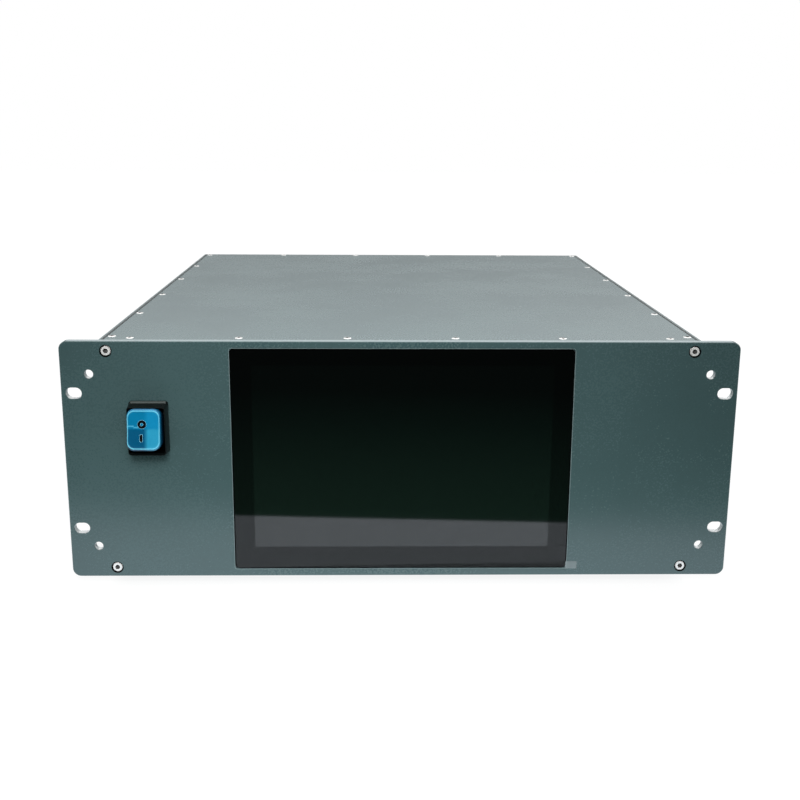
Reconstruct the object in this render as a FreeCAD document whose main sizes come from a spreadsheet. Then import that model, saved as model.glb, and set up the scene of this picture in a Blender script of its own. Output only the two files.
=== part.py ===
"""Rack-mount HF linear power amplifier, 19 inches wide and 4 units high.

Frame: +X to the right of someone facing the front panel, +Y towards the rear,
+Z up.  The origin is on the floor, under the middle of the whole unit.

The sheet "Sizes" holds every driving dimension in millimetres.  PLACES names
the planes and centres that several pieces share, each worked out from those
sizes, so that a piece follows whatever it seats on.
"""

import FreeCAD
import Part
import os
import re
import Sketcher

# Driving dimensions: name, value, what it measures.
SIZE_ROWS = [
    # front panel, to the 19-inch rack standard
    ("panel_wide", 482.6, "front panel width"),
    ("panel_high", 177.0, "front panel height, 4 units less clearance"),
    ("panel_thick", 6.0, "front panel thickness"),
    ("panel_corner", 6.0, "front panel corner radius"),
    ("panel_bevel", 0.5, "bevel on the front panel's outer edge"),
    ("slot_apart", 465.1, "rack slots, centre to centre across"),
    ("slot_rise", 101.6, "rack slots, centre to centre up"),
    ("slot_long", 11.5, "rack slot length"),
    ("slot_high", 8.4, "rack slot height"),
    ("handle_apart", 442.4, "handle holes, centre to centre across"),
    ("handle_rise", 129.5, "handle holes, centre to centre up"),
    ("handle_hole", 6.6, "handle hole diameter"),
    ("corner_apart", 417.0, "panel corner screws, centre to centre across"),
    ("corner_rise", 163.0, "panel corner screws, centre to centre up"),
    # body
    ("body_wide", 430.0, "body width over the side profiles"),
    ("body_high", 176.0, "body height"),
    ("body_deep", 494.0, "body depth behind the front panel"),
    ("plate_thick", 2.0, "top cover and bottom plate thickness"),
    ("side_thick", 3.0, "side profile wall"),
    ("rear_thick", 2.5, "rear panel thickness"),
    ("boss_wide", 12.0, "screw boss of a side profile, across"),
    ("boss_high", 12.0, "screw boss of a side profile, up"),
    ("channel_wide", 3.1, "screw channel width in profiles and bars"),
    ("channel_deep", 7.5, "screw channel depth in profiles and bars"),
    ("seam", 0.4, "gap along the edges of cover and plates"),
    ("bar_deep", 10.0, "cross bar, front to back"),
    ("bar_high", 8.5, "cross bar, up"),
    # cover and plate screws, M3 countersunk
    ("csk_hole", 3.4, "countersunk hole at the plate's inner face"),
    ("csk_head", 5.8, "head diameter of a countersunk screw"),
    ("csk_sink", 6.0, "countersink diameter"),
    ("csk_shank", 3.0, "shank diameter of a countersunk screw"),
    ("csk_long", 7.0, "length of a countersunk screw"),
    ("side_row_x", 208.4, "side screw rows, from the middle"),
    ("side_first", 15.0, "first side screw, behind the front panel"),
    ("side_last", 7.0, "last side screw, from the rear face"),
    ("side_count", 6, "screws in a side row"),
    ("floor_count", 3, "screws in a row of the bottom plate"),
    ("front_row_y", 9.0, "front screw row, behind the front panel"),
    ("front_row_x", 194.3, "outermost screw of the front row"),
    ("front_count", 6, "screws in the front row"),
    ("rear_row_y", 5.0, "rear screw row, from the rear face"),
    ("rear_row_x", 124.0, "outermost screw of the rear row"),
    ("rear_count", 4, "screws in the rear row"),
    # corner screws, M4 socket head
    ("cap_shank", 4.0, "corner screw shank diameter"),
    ("cap_head", 7.0, "corner screw head diameter"),
    ("cap_head_high", 4.0, "corner screw head height"),
    ("cap_key", 3.0, "hexagon socket, across flats"),
    ("cap_key_deep", 2.4, "hexagon socket depth"),
    ("cap_grip", 11.0, "corner screw length in the profile"),
    ("bore_wide", 8.6, "counterbore diameter"),
    ("bore_deep", 4.3, "counterbore depth"),
    ("thread_gap", 0.05, "radial gap between a shank and its tapped hole"),
    ("hole_gap", 0.25, "radial gap between a shank and its clearance hole"),
    # feet
    ("foot_high", 8.0, "rubber foot height"),
    ("foot_wide", 22.0, "rubber foot diameter at the plate"),
    ("foot_taper", 1.5, "how far the foot narrows to the floor"),
    ("foot_inset_x", 45.0, "foot centre, from the side"),
    ("foot_inset_y", 50.0, "foot centre, from the front or rear face"),
    # side vents
    ("vent_wide", 4.0, "vent slot width"),
    ("vent_high", 96.0, "side vent slot height"),
    ("vent_first", 56.0, "first side vent slot, behind the front panel"),
    ("vent_span", 130.0, "side vent row, first slot to last"),
    ("vent_count", 14, "slots in a side vent row"),
    # display
    ("glass_wide", 243.5, "display glass width"),
    ("glass_high", 164.5, "display glass height"),
    ("glass_thick", 3.0, "display glass thickness"),
    ("glass_corner", 2.0, "display glass corner radius"),
    ("glass_gap", 1.0, "gap round the display glass"),
    ("opening_bevel", 0.7, "bevel on the display opening's front edge"),
    ("display_x", 0.7, "display centre, to the right of the middle"),
    ("display_z", 0.2, "display centre, above the panel's middle"),
    ("film_thick", 0.2, "protective film thickness"),
    ("tab_wide", 11.5, "film tab, past the glass"),
    ("tab_high", 7.5, "film tab height"),
    ("tab_drop", 3.0, "film tab, below the glass"),
    ("lcd_side", 7.0, "display module, in from the glass's side edges"),
    ("lcd_ends", 7.75, "display module, in from the glass's upper and lower edges"),
    ("lcd_thick", 2.9, "display module thickness"),
    ("lcd_rise", 2.6, "display module, above the glass's centre"),
    ("gasket_gap", 0.1, "gasket clearance in the opening"),
    ("tray_side", 2.75, "display tray, in from the glass's side edges"),
    ("tray_ends", 7.25, "display tray, in from the glass's upper and lower edges"),
    ("tray_deep", 12.0, "display tray depth"),
    ("tray_wall", 1.2, "display tray sheet"),
    ("ear_wide", 16.0, "display tray ear width"),
    ("ear_high", 120.0, "display tray ear height"),
    ("stud_size", 3.0, "display stud diameter"),
    ("stud_long", 8.0, "display stud length behind the panel"),
    ("stud_rise", 96.0, "display studs, centre to centre up"),
    ("nut_flats", 5.5, "M3 nut across flats"),
    ("nut_high", 2.4, "M3 nut height"),
    ("driver_wide", 120.0, "display driver board width"),
    ("driver_high", 80.0, "display driver board height"),
    ("board_thick", 1.6, "circuit board thickness"),
    ("spacer_long", 6.0, "display driver board spacer length"),
    ("spacer_flats", 5.5, "spacer across flats"),
    # power switch
    ("switch_x", -180.0, "power switch centre"),
    ("switch_z", 26.5, "power switch centre, above the panel's middle"),
    ("switch_wide", 28.0, "switch bezel width at the panel"),
    ("switch_high", 38.0, "switch bezel height at the panel"),
    ("switch_stand", 12.0, "switch bezel, out from the panel"),
    ("switch_draft", 3.0, "draft of the switch bezel, degrees"),
    ("switch_corner", 2.0, "switch bezel corner bevel"),
    ("well_wide", 25.2, "rocker well width"),
    ("well_high", 33.8, "rocker well height"),
    ("well_clear", 1.6, "rocker well, behind the rocker's back"),
    ("neck_wide", 22.0, "switch body width behind the bezel"),
    ("neck_high", 32.0, "switch body height behind the bezel"),
    ("neck_long", 26.0, "switch body length behind the bezel"),
    ("neck_gap", 0.4, "gap round the switch body in the panel"),
    ("rocker_wide", 24.0, "rocker width"),
    ("rocker_high", 29.6, "rocker height"),
    ("rocker_front", 14.6, "rocker's upper and lower rims, out from its pivot"),
    ("rocker_dish", 0.8, "hollow of the rocker's face, at its middle"),
    ("rocker_back", 2.2, "rocker back, behind its pivot"),
    ("rocker_skirt", 3.0, "rocker skirt, out from the pivot"),
    ("rocker_corner", 5.0, "rocker corner radius"),
    ("rocker_edge", 0.7, "rocker front edge bevel"),
    ("rocker_swing", 20.0, "rocker travel, degrees"),
    ("pivot_out", 4.0, "rocker pivot, out from the panel"),
    ("pivot_size", 3.0, "rocker pivot pin diameter"),
    ("pivot_long", 0.9, "rocker pivot pin length"),
    ("pivot_gap", 0.05, "radial running gap of the rocker pivot"),
    ("blade_wide", 6.3, "tab terminal width"),
    ("blade_thick", 0.8, "tab terminal thickness"),
    ("blade_long", 9.0, "tab terminal length"),
    ("blade_apart", 12.0, "tab terminals, across"),
    ("blade_rise", 15.0, "tab terminals, up"),
    # cooling fans, 120 mm
    ("fan_size", 120.0, "fan frame side"),
    ("fan_deep", 25.0, "fan frame depth"),
    ("fan_corner", 4.0, "fan frame corner bevel"),
    ("fan_bore", 116.0, "fan frame bore"),
    ("fan_pitch", 105.0, "fan fixing holes, centre to centre"),
    ("fan_left_x", -82.0, "left fan centre"),
    ("fan_right_x", 44.0, "right fan centre"),
    ("fan_motor", 42.0, "fan motor base diameter"),
    ("fan_motor_thick", 4.0, "fan motor base thickness"),
    ("fan_strut", 4.0, "fan strut width"),
    ("hub_wide", 40.0, "rotor hub diameter"),
    ("hub_deep", 18.0, "rotor hub depth"),
    ("hub_wall", 2.0, "rotor hub wall"),
    ("hub_gap", 1.0, "gap between rotor hub and motor base"),
    ("axle_size", 4.0, "rotor axle diameter"),
    ("axle_gap", 0.05, "radial running gap of the rotor axle"),
    ("wing_count", 5, "rotor blades"),
    ("wing_gap", 1.5, "half the gap between blade tips and fan bore"),
    ("wing_chord", 17.0, "blade chord, front to back"),
    ("wing_thick", 1.4, "blade thickness"),
    ("wing_root_skew", 10.8, "blade lean at the root, to each side"),
    ("wing_tip_skew", 12.4, "blade lean at the tip, to each side"),
    ("wing_belly", 2.0, "blade camber"),
    ("grille_count", 8, "slots in a fan grille column"),
    ("grille_wide", 52.0, "fan grille slot length"),
    ("grille_slot", 8.0, "fan grille slot height"),
    ("grille_span", 98.0, "fan grille, first slot to last"),
    ("grille_apart", 58.0, "fan grille columns, centre to centre"),
    ("fan_screw_head", 7.4, "fan screw head diameter"),
    ("fan_screw_head_high", 2.4, "fan screw head height"),
    # rear connectors
    ("socket_out", 19.0, "RF socket, out from the rear panel"),
    ("socket_in", 14.0, "RF socket, into the body"),
    ("socket_size", 15.88, "RF socket thread, five eighths of an inch"),
    ("socket_bore", 12.2, "RF socket bore"),
    ("socket_bore_deep", 10.5, "RF socket bore depth"),
    ("socket_plate", 25.4, "RF socket flange side"),
    ("socket_plate_thick", 3.0, "RF socket flange thickness"),
    ("socket_tail", 10.0, "RF socket back shell diameter"),
    ("socket_x", 158.0, "middle of the RF sockets"),
    ("socket_z", 40.0, "RF sockets, above the middle"),
    ("socket_apart", 50.0, "RF sockets apart"),
    ("insulator_sink", 2.5, "insulator, below the socket's rim"),
    ("jack_count", 2, "phono jacks"),
    ("jack_size", 8.3, "phono jack shell diameter"),
    ("jack_pin", 3.3, "phono jack bore"),
    ("jack_long", 9.0, "phono jack, out from the rear panel"),
    ("jack_flats", 12.0, "phono jack nut across flats"),
    ("jack_nut", 2.2, "phono jack nut thickness"),
    ("jack_span", 24.0, "phono jacks, first to last"),
    ("jack_z", -4.0, "phono jacks, below the middle"),
    ("data_wide", 31.0, "data connector plate width"),
    ("data_high", 12.6, "data connector plate height"),
    ("data_thick", 0.8, "data connector plate thickness"),
    ("data_mouth_wide", 16.9, "data connector mouth width"),
    ("data_mouth_high", 8.3, "data connector mouth height"),
    ("data_mouth_out", 5.8, "data connector mouth, out from the plate"),
    ("data_wall", 0.5, "data connector mouth wall"),
    ("data_body", 19.3, "data connector body width"),
    ("data_deep", 10.0, "data connector body depth"),
    ("data_z", -40.0, "data connector, below the middle"),
    ("inlet_x", -178.0, "mains inlet centre"),
    ("inlet_z", 40.0, "mains inlet centre, above the middle"),
    ("inlet_plate_wide", 27.0, "mains inlet flange width"),
    ("inlet_plate_high", 52.0, "mains inlet flange height"),
    ("inlet_plate_thick", 3.0, "mains inlet flange thickness"),
    ("inlet_wide", 23.5, "mains inlet body width"),
    ("inlet_high", 33.0, "mains inlet body height"),
    ("inlet_deep", 24.0, "mains inlet body depth"),
    ("inlet_mouth_wide", 18.5, "mains inlet cavity width"),
    ("inlet_mouth_high", 27.5, "mains inlet cavity height"),
    ("inlet_mouth_deep", 18.0, "mains inlet cavity depth"),
    ("prong_wide", 8.0, "mains inlet prong width"),
    ("prong_thick", 2.0, "mains inlet prong thickness"),
    ("prong_long", 13.0, "mains inlet prong length"),
    ("prong_rise", 13.0, "outer prongs apart"),
    ("prong_shift", 4.0, "earth prong, across from the others"),
    ("inlet_fix", 42.0, "mains inlet screws apart"),
    ("ground_z", -44.0, "ground stud, below the middle"),
    ("ground_size", 6.0, "ground stud pin diameter"),
    ("ground_out", 16.0, "ground stud, out from the rear panel"),
    ("ground_body", 8.0, "ground stud diameter in the rear panel"),
    ("ground_flange", 4.0, "ground stud hexagon flange thickness"),
    ("ground_flats", 13.0, "ground stud flange and nut across flats"),
    ("ground_nut_high", 4.0, "ground nut height"),
    # amplifier module
    ("sink_x", 20.0, "heatsink centre"),
    ("sink_y", 40.0, "heatsink centre, behind the body's middle"),
    ("sink_wide", 200.0, "heatsink width"),
    ("sink_long", 270.0, "heatsink length"),
    ("sink_base", 10.0, "heatsink base thickness"),
    ("fin_high", 48.0, "heatsink fin height"),
    ("fin_thick", 2.0, "heatsink fin thickness"),
    ("fin_count", 19, "heatsink fins"),
    ("copper_wide", 150.0, "copper spreader width"),
    ("copper_long", 120.0, "copper spreader length"),
    ("copper_thick", 10.0, "copper spreader thickness"),
    ("cut_wide", 42.0, "opening for the transistor in the board, across"),
    ("cut_long", 12.0, "opening for the transistor in the board"),
    ("die_wide", 32.0, "power transistor body, across"),
    ("die_long", 10.0, "power transistor body, front to back"),
    ("die_high", 4.5, "power transistor height"),
    ("core_wide", 38.0, "output transformer core width"),
    ("core_long", 34.0, "output transformer core length"),
    ("core_high", 20.0, "output transformer core height"),
    ("core_bore", 10.0, "output transformer core bore"),
    ("core_y", 34.0, "output transformer, behind the transistor"),
    ("pill_wide", 18.0, "input transformer width"),
    ("pill_long", 12.0, "input transformer length"),
    ("pill_high", 9.0, "input transformer height"),
    ("pill_y", -34.0, "input transformer, before the transistor"),
    ("choke_x", 50.0, "supply choke, to the right of the transistor"),
    ("choke_size", 26.0, "supply choke diameter"),
    ("choke_bore", 12.0, "supply choke bore"),
    ("choke_high", 12.0, "supply choke height"),
    # filter board, standing along the right-hand side
    ("filter_long", 280.0, "filter board length"),
    ("filter_high", 130.0, "filter board height"),
    ("filter_y", 55.0, "filter board centre, behind the body's middle"),
    ("filter_stand", 10.0, "filter board, off the side wall"),
    ("ring_size", 27.0, "filter toroid diameter"),
    ("ring_bore", 14.0, "filter toroid bore"),
    ("ring_thick", 11.0, "filter toroid thickness"),
    ("ring_count", 5, "filter toroids in a row"),
    ("ring_span", 220.0, "filter toroids, first to last"),
    ("ring_rise", 34.0, "filter toroid rows apart"),
    ("relay_long", 12.7, "relay length"),
    ("relay_high", 20.0, "relay width"),
    ("relay_deep", 15.7, "relay height off the board"),
    ("relay_rise", 104.0, "relay rows apart"),
    # power supply, left-hand side
    ("supply_x", -141.0, "power supply centre"),
    ("supply_y", -12.0, "power supply centre, behind the body's middle"),
    ("supply_wide", 104.0, "power supply width"),
    ("supply_long", 330.0, "power supply length"),
    ("supply_high", 61.0, "power supply height"),
    ("supply_wall", 1.5, "power supply case sheet"),
    ("supply_slots", 7, "air slots at each end of the power supply"),
    ("supply_slot", 4.0, "air slot width of the power supply"),
    ("supply_slot_high", 38.0, "air slot height of the power supply"),
    ("supply_slot_span", 80.0, "air slots of the power supply, across"),
    ("lug_wide", 10.0, "output lug width"),
    ("lug_thick", 3.0, "output lug thickness"),
    ("lug_long", 16.0, "output lug length"),
    ("lug_apart", 30.0, "output lugs apart"),
    # control board
    ("control_x", 40.0, "control board centre"),
    ("control_y", -170.0, "control board centre, behind the body's middle"),
    ("control_wide", 180.0, "control board width"),
    ("control_long", 90.0, "control board length"),
    ("control_stand", 12.0, "control board, off the bottom plate"),
    ("chip_size", 14.0, "processor side"),
    ("chip_high", 1.6, "processor height"),
    ("plug_wide", 30.0, "cable header width"),
    ("plug_long", 9.0, "cable header length"),
    ("plug_high", 9.0, "cable header height"),
]

# Shared planes and centres, each from the sizes above.
PLACES = {
    "front_y": "-(switch_front + panel_thick + body_deep + socket_out) / 2"
    " + switch_front",
    "switch_front": "pivot_out + rocker_front * cos(rocker_swing / 2)"
    " + (rocker_high / 2 - rocker_edge) * sin(rocker_swing / 2)",
    "inner_y": "front_y + panel_thick",
    "rear_y": "inner_y + body_deep",
    "rear_in": "rear_y - rear_thick",
    "middle_y": "inner_y + body_deep / 2",
    "base_z": "foot_high",
    "roof_z": "foot_high + body_high",
    "floor_z": "base_z + plate_thick",
    "ceil_z": "roof_z - plate_thick",
    "mid_z": "foot_high + body_high / 2",
    "half_wide": "body_wide / 2",
    "wall_x": "half_wide - side_thick",
    "boss_x": "wall_x - boss_wide",
    "port": "cap_shank / 2 + thread_gap",
    "port_z": "corner_rise / 2",
    "cut_wide_all": "glass_wide / 2 + glass_gap",
    "cut_high_all": "glass_high / 2 + glass_gap",
    "lcd_wide": "glass_wide - 2 * lcd_side",
    "lcd_high": "glass_high - 2 * lcd_ends",
    "lcd_back": "glass_thick + lcd_thick",
    "tray_wide": "glass_wide - 2 * tray_side",
    "tray_high": "glass_high - 2 * tray_ends",
    "stud_x": "tray_wide / 2 + ear_wide / 2",
    "fan_front": "rear_in - fan_deep",
    "sink_top": "floor_z + fin_high + sink_base",
    "copper_top": "sink_top + copper_thick",
    "sink_mid_y": "middle_y + sink_y",
    "board_x": "wall_x - filter_stand - board_thick",
    "filter_mid_y": "middle_y + filter_y",
    "supply_mid_y": "middle_y + supply_y",
    "control_mid_y": "middle_y + control_y",
    "control_z": "floor_z + control_stand",
    "pack_z": "floor_z + supply_high",
}

SIZES = {name: number for name, number, _ in SIZE_ROWS}
WORD = re.compile(r"[a-z][a-z0-9_]*")
NORMAL = {"XY": 1, "XZ": -1, "YZ": 1}

doc = FreeCAD.newDocument("RackAmplifier")
sheet = doc.addObject("Spreadsheet::Sheet", "Sizes")
for row, (name, number, meaning) in enumerate(SIZE_ROWS, start=1):
    sheet.set(f"A{row}", meaning)
    sheet.set(f"B{row}", str(number))
    sheet.setAlias(f"B{row}", name)
doc.recompute()

pieces = []
plane_of = {}


def full(text):
    """Spell out the shared places and point every size name at the sheet."""

    def place(match):
        word = match.group()
        return f"({PLACES[word]})" if word in PLACES else word

    def size(match):
        word = match.group()
        return f"Sizes.{word}" if word in SIZES else word

    spelled = WORD.sub(place, text)
    while spelled != text:
        text = spelled
        spelled = WORD.sub(place, text)
    return WORD.sub(size, text)


def value(text):
    """The present value of an expression in size and place names."""
    return float(sheet.evalExpression(full(text)))


def bind(thing, path, text):
    """Tie a property of the thing to an expression."""
    thing.setExpression(path, full(text))


def body(label, x="0", y="0", z="0"):
    """Start a piece: a body whose origin sits at the given place."""
    piece = doc.addObject("PartDesign::Body", label)
    piece.Label = label
    for axis, text in zip("xyz", (x, y, z)):
        if text != "0":
            bind(piece, f"Placement.Base.{axis}", text)
    pieces.append(piece)
    return piece


def origin(piece, role):
    """One of the body's own origin planes or axes."""
    for feature in piece.Origin.OriginFeatures:
        if feature.Role == role:
            return feature
    raise ValueError(role)


def sketch(piece, plane, *outlines, at="0"):
    """A sketch on an origin plane, moved along that plane's axis to "at"."""
    drawn = piece.newObject("Sketcher::SketchObject", "Outline")
    drawn.AttachmentSupport = [(origin(piece, plane + "_Plane"), "")]
    drawn.MapMode = "FlatFace"
    if at != "0":
        sign = "-" if NORMAL[plane] < 0 else ""
        bind(drawn, "AttachmentOffset.Base.z", f"{sign}({at})")
    plane_of[drawn.Name] = plane
    for outline in outlines:
        outline(drawn)
    doc.recompute()
    return drawn


def fix_point(drawn, geo, pos, x, y):
    """Dimension a point of a sketch from the sketch's origin."""
    for kind, text in (("DistanceX", x), ("DistanceY", y)):
        rule = Sketcher.Constraint(kind, -1, 1, geo, pos, value(text))
        index = drawn.addConstraint(rule)
        bind(drawn, f"Constraints[{index}]", text)


def fix_radius(drawn, geo, text):
    """Dimension the radius of a circle or arc."""
    index = drawn.addConstraint(Sketcher.Constraint("Radius", geo, value(text)))
    bind(drawn, f"Constraints[{index}]", text)


def circle(x, y, radius):
    """A dimensioned circle."""

    def draw(drawn):
        centre = FreeCAD.Vector(value(x), value(y), 0)
        shape = Part.Circle(centre, FreeCAD.Vector(0, 0, 1), value(radius))
        geo = drawn.addGeometry(shape, False)
        fix_point(drawn, geo, 3, x, y)
        fix_radius(drawn, geo, radius)

    return draw


def outline(*points):
    """A closed outline of straight lines through dimensioned corners."""

    def draw(drawn):
        spots = [FreeCAD.Vector(value(x), value(y), 0) for x, y in points]
        ends = spots[1:] + spots[:1]
        lines = [Part.LineSegment(a, b) for a, b in zip(spots, ends)]
        first = drawn.GeometryCount
        drawn.addGeometry(lines, False)
        for step in range(len(lines)):
            after = first + (step + 1) % len(lines)
            rule = Sketcher.Constraint("Coincident", first + step, 2, after, 1)
            drawn.addConstraint(rule)
        for step, (x, y) in enumerate(points):
            fix_point(drawn, first + step, 1, x, y)

    return draw


def box(left, right, low, high):
    """A rectangle between four dimensioned sides."""
    return outline((left, low), (right, low), (right, high), (left, high))


def middle_box(wide, high, x="0", y="0"):
    """A rectangle about a centre."""
    half_w = f"({wide}) / 2"
    half_h = f"({high}) / 2"
    return box(
        f"{x} - {half_w}", f"{x} + {half_w}", f"{y} - {half_h}", f"{y} + {half_h}"
    )


def cant_box(wide, high, cant):
    """A rectangle about the origin, its corners cut off at 45 degrees."""
    out_x, out_y = f"({wide}) / 2", f"({high}) / 2"
    in_x, in_y = f"({wide}) / 2 - ({cant})", f"({high}) / 2 - ({cant})"
    return outline(
        (out_x, in_y),
        (in_x, out_y),
        (f"-({in_x})", out_y),
        (f"-{out_x}", in_y),
        (f"-{out_x}", f"-({in_y})"),
        (f"-({in_x})", f"-{out_y}"),
        (in_x, f"-{out_y}"),
        (out_x, f"-({in_y})"),
    )


def round_box(wide, high, radius, x="0", y="0"):
    """A rectangle about a centre, with round corners."""

    def draw(drawn):
        dx = f"(({wide}) / 2 - ({radius}))"
        dy = f"(({high}) / 2 - ({radius}))"
        turns = ((1, 1, 0), (-1, 1, 90), (-1, -1, 180), (1, -1, 270))
        size = value(radius)
        arcs = []
        for sx, sy, start in turns:
            centre = FreeCAD.Vector(
                value(x) + sx * value(dx), value(y) + sy * value(dy), 0
            )
            ring = Part.Circle(centre, FreeCAD.Vector(0, 0, 1), size)
            begin = FreeCAD.Units.Quantity(f"{start} deg").getValueAs("rad").Value
            quarter = FreeCAD.Units.Quantity("90 deg").getValueAs("rad").Value
            arcs.append(Part.ArcOfCircle(ring, begin, begin + quarter))
        first = drawn.GeometryCount
        drawn.addGeometry(arcs, False)
        sides = []
        for step in range(4):
            a = arcs[step].EndPoint
            b = arcs[(step + 1) % 4].StartPoint
            sides.append(Part.LineSegment(a, b))
        lines = drawn.GeometryCount
        drawn.addGeometry(sides, False)
        for step, (sx, sy, _) in enumerate(turns):
            arc = first + step
            after = first + (step + 1) % 4
            line = lines + step
            level = ("Horizontal", "Vertical")
            if step % 2:
                level = ("Vertical", "Horizontal")
            drawn.addConstraint(Sketcher.Constraint("Coincident", arc, 2, line, 1))
            drawn.addConstraint(Sketcher.Constraint("Coincident", line, 2, after, 1))
            drawn.addConstraint(Sketcher.Constraint(level[0], arc, 3, arc, 1))
            drawn.addConstraint(Sketcher.Constraint(level[1], arc, 3, arc, 2))
            fix_point(
                drawn,
                arc,
                3,
                f"{x} + {dx}" if sx > 0 else f"{x} - {dx}",
                f"{y} + {dy}" if sy > 0 else f"{y} - {dy}",
            )
            fix_radius(drawn, arc, radius)

    return draw


def gon(radius, x="0", y="0", sides=8):
    """A regular polygon inside a circle, with a flat facing each axis."""
    corners = []
    for step in range(sides):
        turned = 360 / sides * (step + 0.5)
        corners.append(
            (f"{x} + ({radius}) * cos({turned})", f"{y} + ({radius}) * sin({turned})")
        )
    return outline(*corners)


def hexagon(flats, x="0", y="0"):
    """A regular hexagon about a centre, flats facing up and down."""
    half = f"({flats}) / 2"
    side = f"({flats}) / 2 / cos(30)"
    corners = []
    for sx, sy in ((1, 0), (0.5, 1), (-0.5, 1), (-1, 0), (-0.5, -1), (0.5, -1)):
        corners.append((f"{x} + {sx} * ({side})", f"{y} + {sy} * {half}"))
    return outline(*corners)


def extrude(piece, drawn, length, way=1):
    """Pad a sketch towards + or - of its plane's axis."""
    feature = piece.newObject("PartDesign::Pad", "Pad")
    feature.Profile = drawn
    bind(feature, "Length", length)
    feature.Reversed = way != NORMAL[plane_of[drawn.Name]]
    doc.recompute()
    return feature


def cut(piece, drawn, length=None, way=1):
    """Pocket a sketch towards + or -, or right through when no length."""
    before = piece.Shape.Volume
    feature = piece.newObject("PartDesign::Pocket", "Pocket")
    feature.Profile = drawn
    if length is None:
        feature.Type = "ThroughAll"
        feature.Midplane = True
    else:
        bind(feature, "Length", length)
        feature.Reversed = way == NORMAL[plane_of[drawn.Name]]
    doc.recompute()
    if not piece.Shape.Volume < before:
        raise ValueError(f"{piece.Label}: a pocket removed nothing")
    return feature


def turn(piece, drawn, axis, cutting=False):
    """Revolve a sketch a full turn about one of the body's axes."""
    kind = "Groove" if cutting else "Revolution"
    before = piece.Shape.Volume if cutting else 0
    feature = piece.newObject("PartDesign::" + kind, kind)
    feature.Profile = drawn
    feature.ReferenceAxis = (origin(piece, axis + "_Axis"), [""])
    feature.Angle = 360
    doc.recompute()
    if cutting and not piece.Shape.Volume < before:
        raise ValueError(f"{piece.Label}: a groove removed nothing")
    return feature


def repeat(piece, features, axis, length, count, axis2=None, length2=None, count2=2):
    """Linear pattern along one or two of the body's axes."""
    pattern = piece.newObject("PartDesign::LinearPattern", "Pattern")
    pattern.Originals = features if isinstance(features, list) else [features]
    pattern.Direction = (origin(piece, axis + "_Axis"), [""])
    pattern.Mode = "Extent"
    bind(pattern, "Length", length)
    if isinstance(count, str):
        bind(pattern, "Occurrences", count)
    else:
        pattern.Occurrences = count
    if axis2:
        pattern.Direction2 = (origin(piece, axis2 + "_Axis"), [""])
        pattern.Mode2 = "Extent"
        bind(pattern, "Length2", length2)
        if isinstance(count2, str):
            bind(pattern, "Occurrences2", count2)
        else:
            pattern.Occurrences2 = count2
    piece.Tip = pattern
    doc.recompute()
    return pattern


def spin(piece, features, axis, count):
    """Polar pattern, a full turn about one of the body's axes."""
    pattern = piece.newObject("PartDesign::PolarPattern", "Ring")
    pattern.Originals = features
    pattern.Axis = (origin(piece, axis + "_Axis"), [""])
    pattern.Angle = 360
    if isinstance(count, str):
        bind(pattern, "Occurrences", count)
    else:
        pattern.Occurrences = count
    piece.Tip = pattern
    doc.recompute()
    return pattern


def mirror(piece, features, plane):
    """Mirror features across one of the body's planes."""
    pattern = piece.newObject("PartDesign::Mirrored", "Mirror")
    pattern.Originals = features if isinstance(features, list) else [features]
    pattern.MirrorPlane = (origin(piece, plane + "_Plane"), [""])
    piece.Tip = pattern
    doc.recompute()
    return pattern


def edges_where(feature, test):
    """Names of a feature's edges whose two ends both pass a test."""
    names = []
    for index, edge in enumerate(feature.Shape.Edges, start=1):
        ends = [vertex.Point for vertex in edge.Vertexes]
        if ends and all(test(end) for end in ends):
            names.append(f"Edge{index}")
    return names


def soften(piece, kind, names, size):
    """Fillet or chamfer the named edges of the body's present tip."""
    base = piece.Tip
    feature = piece.newObject("PartDesign::" + kind, kind)
    feature.Base = (base, names)
    bind(feature, "Radius" if kind == "Fillet" else "Size", size)
    doc.recompute()
    return feature


def near(a, b):
    """Whether two lengths agree to a hundredth."""
    return abs(a - b) < 0.01


# --------------------------------------------------------------------------
# Front panel: one milled plate with rack slots, handle holes, counterbored
# corner holes, the display opening and the switch opening.
# --------------------------------------------------------------------------
panel = body("front_panel", y="front_y", z="mid_z")
plate = sketch(panel, "XZ", round_box("panel_wide", "panel_high", "panel_corner"))
extrude(panel, plate, "panel_thick")
rim = edges_where(panel.Tip, lambda p: near(p.y, 0))
soften(panel, "Chamfer", rim, "panel_bevel")
opening = sketch(
    panel,
    "XZ",
    round_box(
        "2 * cut_wide_all",
        "2 * cut_high_all",
        "glass_corner + glass_gap",
        "display_x",
        "display_z",
    ),
)
cut(panel, opening)
span_x = value("cut_wide_all") + abs(value("display_x")) + 1
rim = edges_where(panel.Tip, lambda p: near(p.y, 0) and abs(p.x) < span_x)
soften(panel, "Chamfer", rim, "opening_bevel")
cut(
    panel,
    sketch(
        panel,
        "XZ",
        middle_box(
            "neck_wide + 2 * neck_gap",
            "neck_high + 2 * neck_gap",
            "switch_x",
            "switch_z",
        ),
    ),
)
slots = cut(
    panel,
    sketch(
        panel,
        "XZ",
        round_box(
            "slot_long",
            "slot_high",
            "slot_high / 2 - 0.001",
            "-slot_apart / 2",
            "-slot_rise / 2",
        ),
    ),
)
repeat(panel, slots, "X", "slot_apart", 2, "Z", "slot_rise", 2)
handles = cut(
    panel,
    sketch(
        panel, "XZ", circle("-handle_apart / 2", "-handle_rise / 2", "handle_hole / 2")
    ),
)
repeat(panel, handles, "X", "handle_apart", 2, "Z", "handle_rise", 2)
corner = ("-corner_apart / 2", "-corner_rise / 2")
bore = cut(
    panel, sketch(panel, "XZ", gon("bore_wide / 2", *corner, 12)), "bore_deep"
)
shank = cut(
    panel, sketch(panel, "XZ", gon("cap_shank / 2 + hole_gap", *corner)), "panel_thick"
)
corners = [bore, shank]
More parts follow.
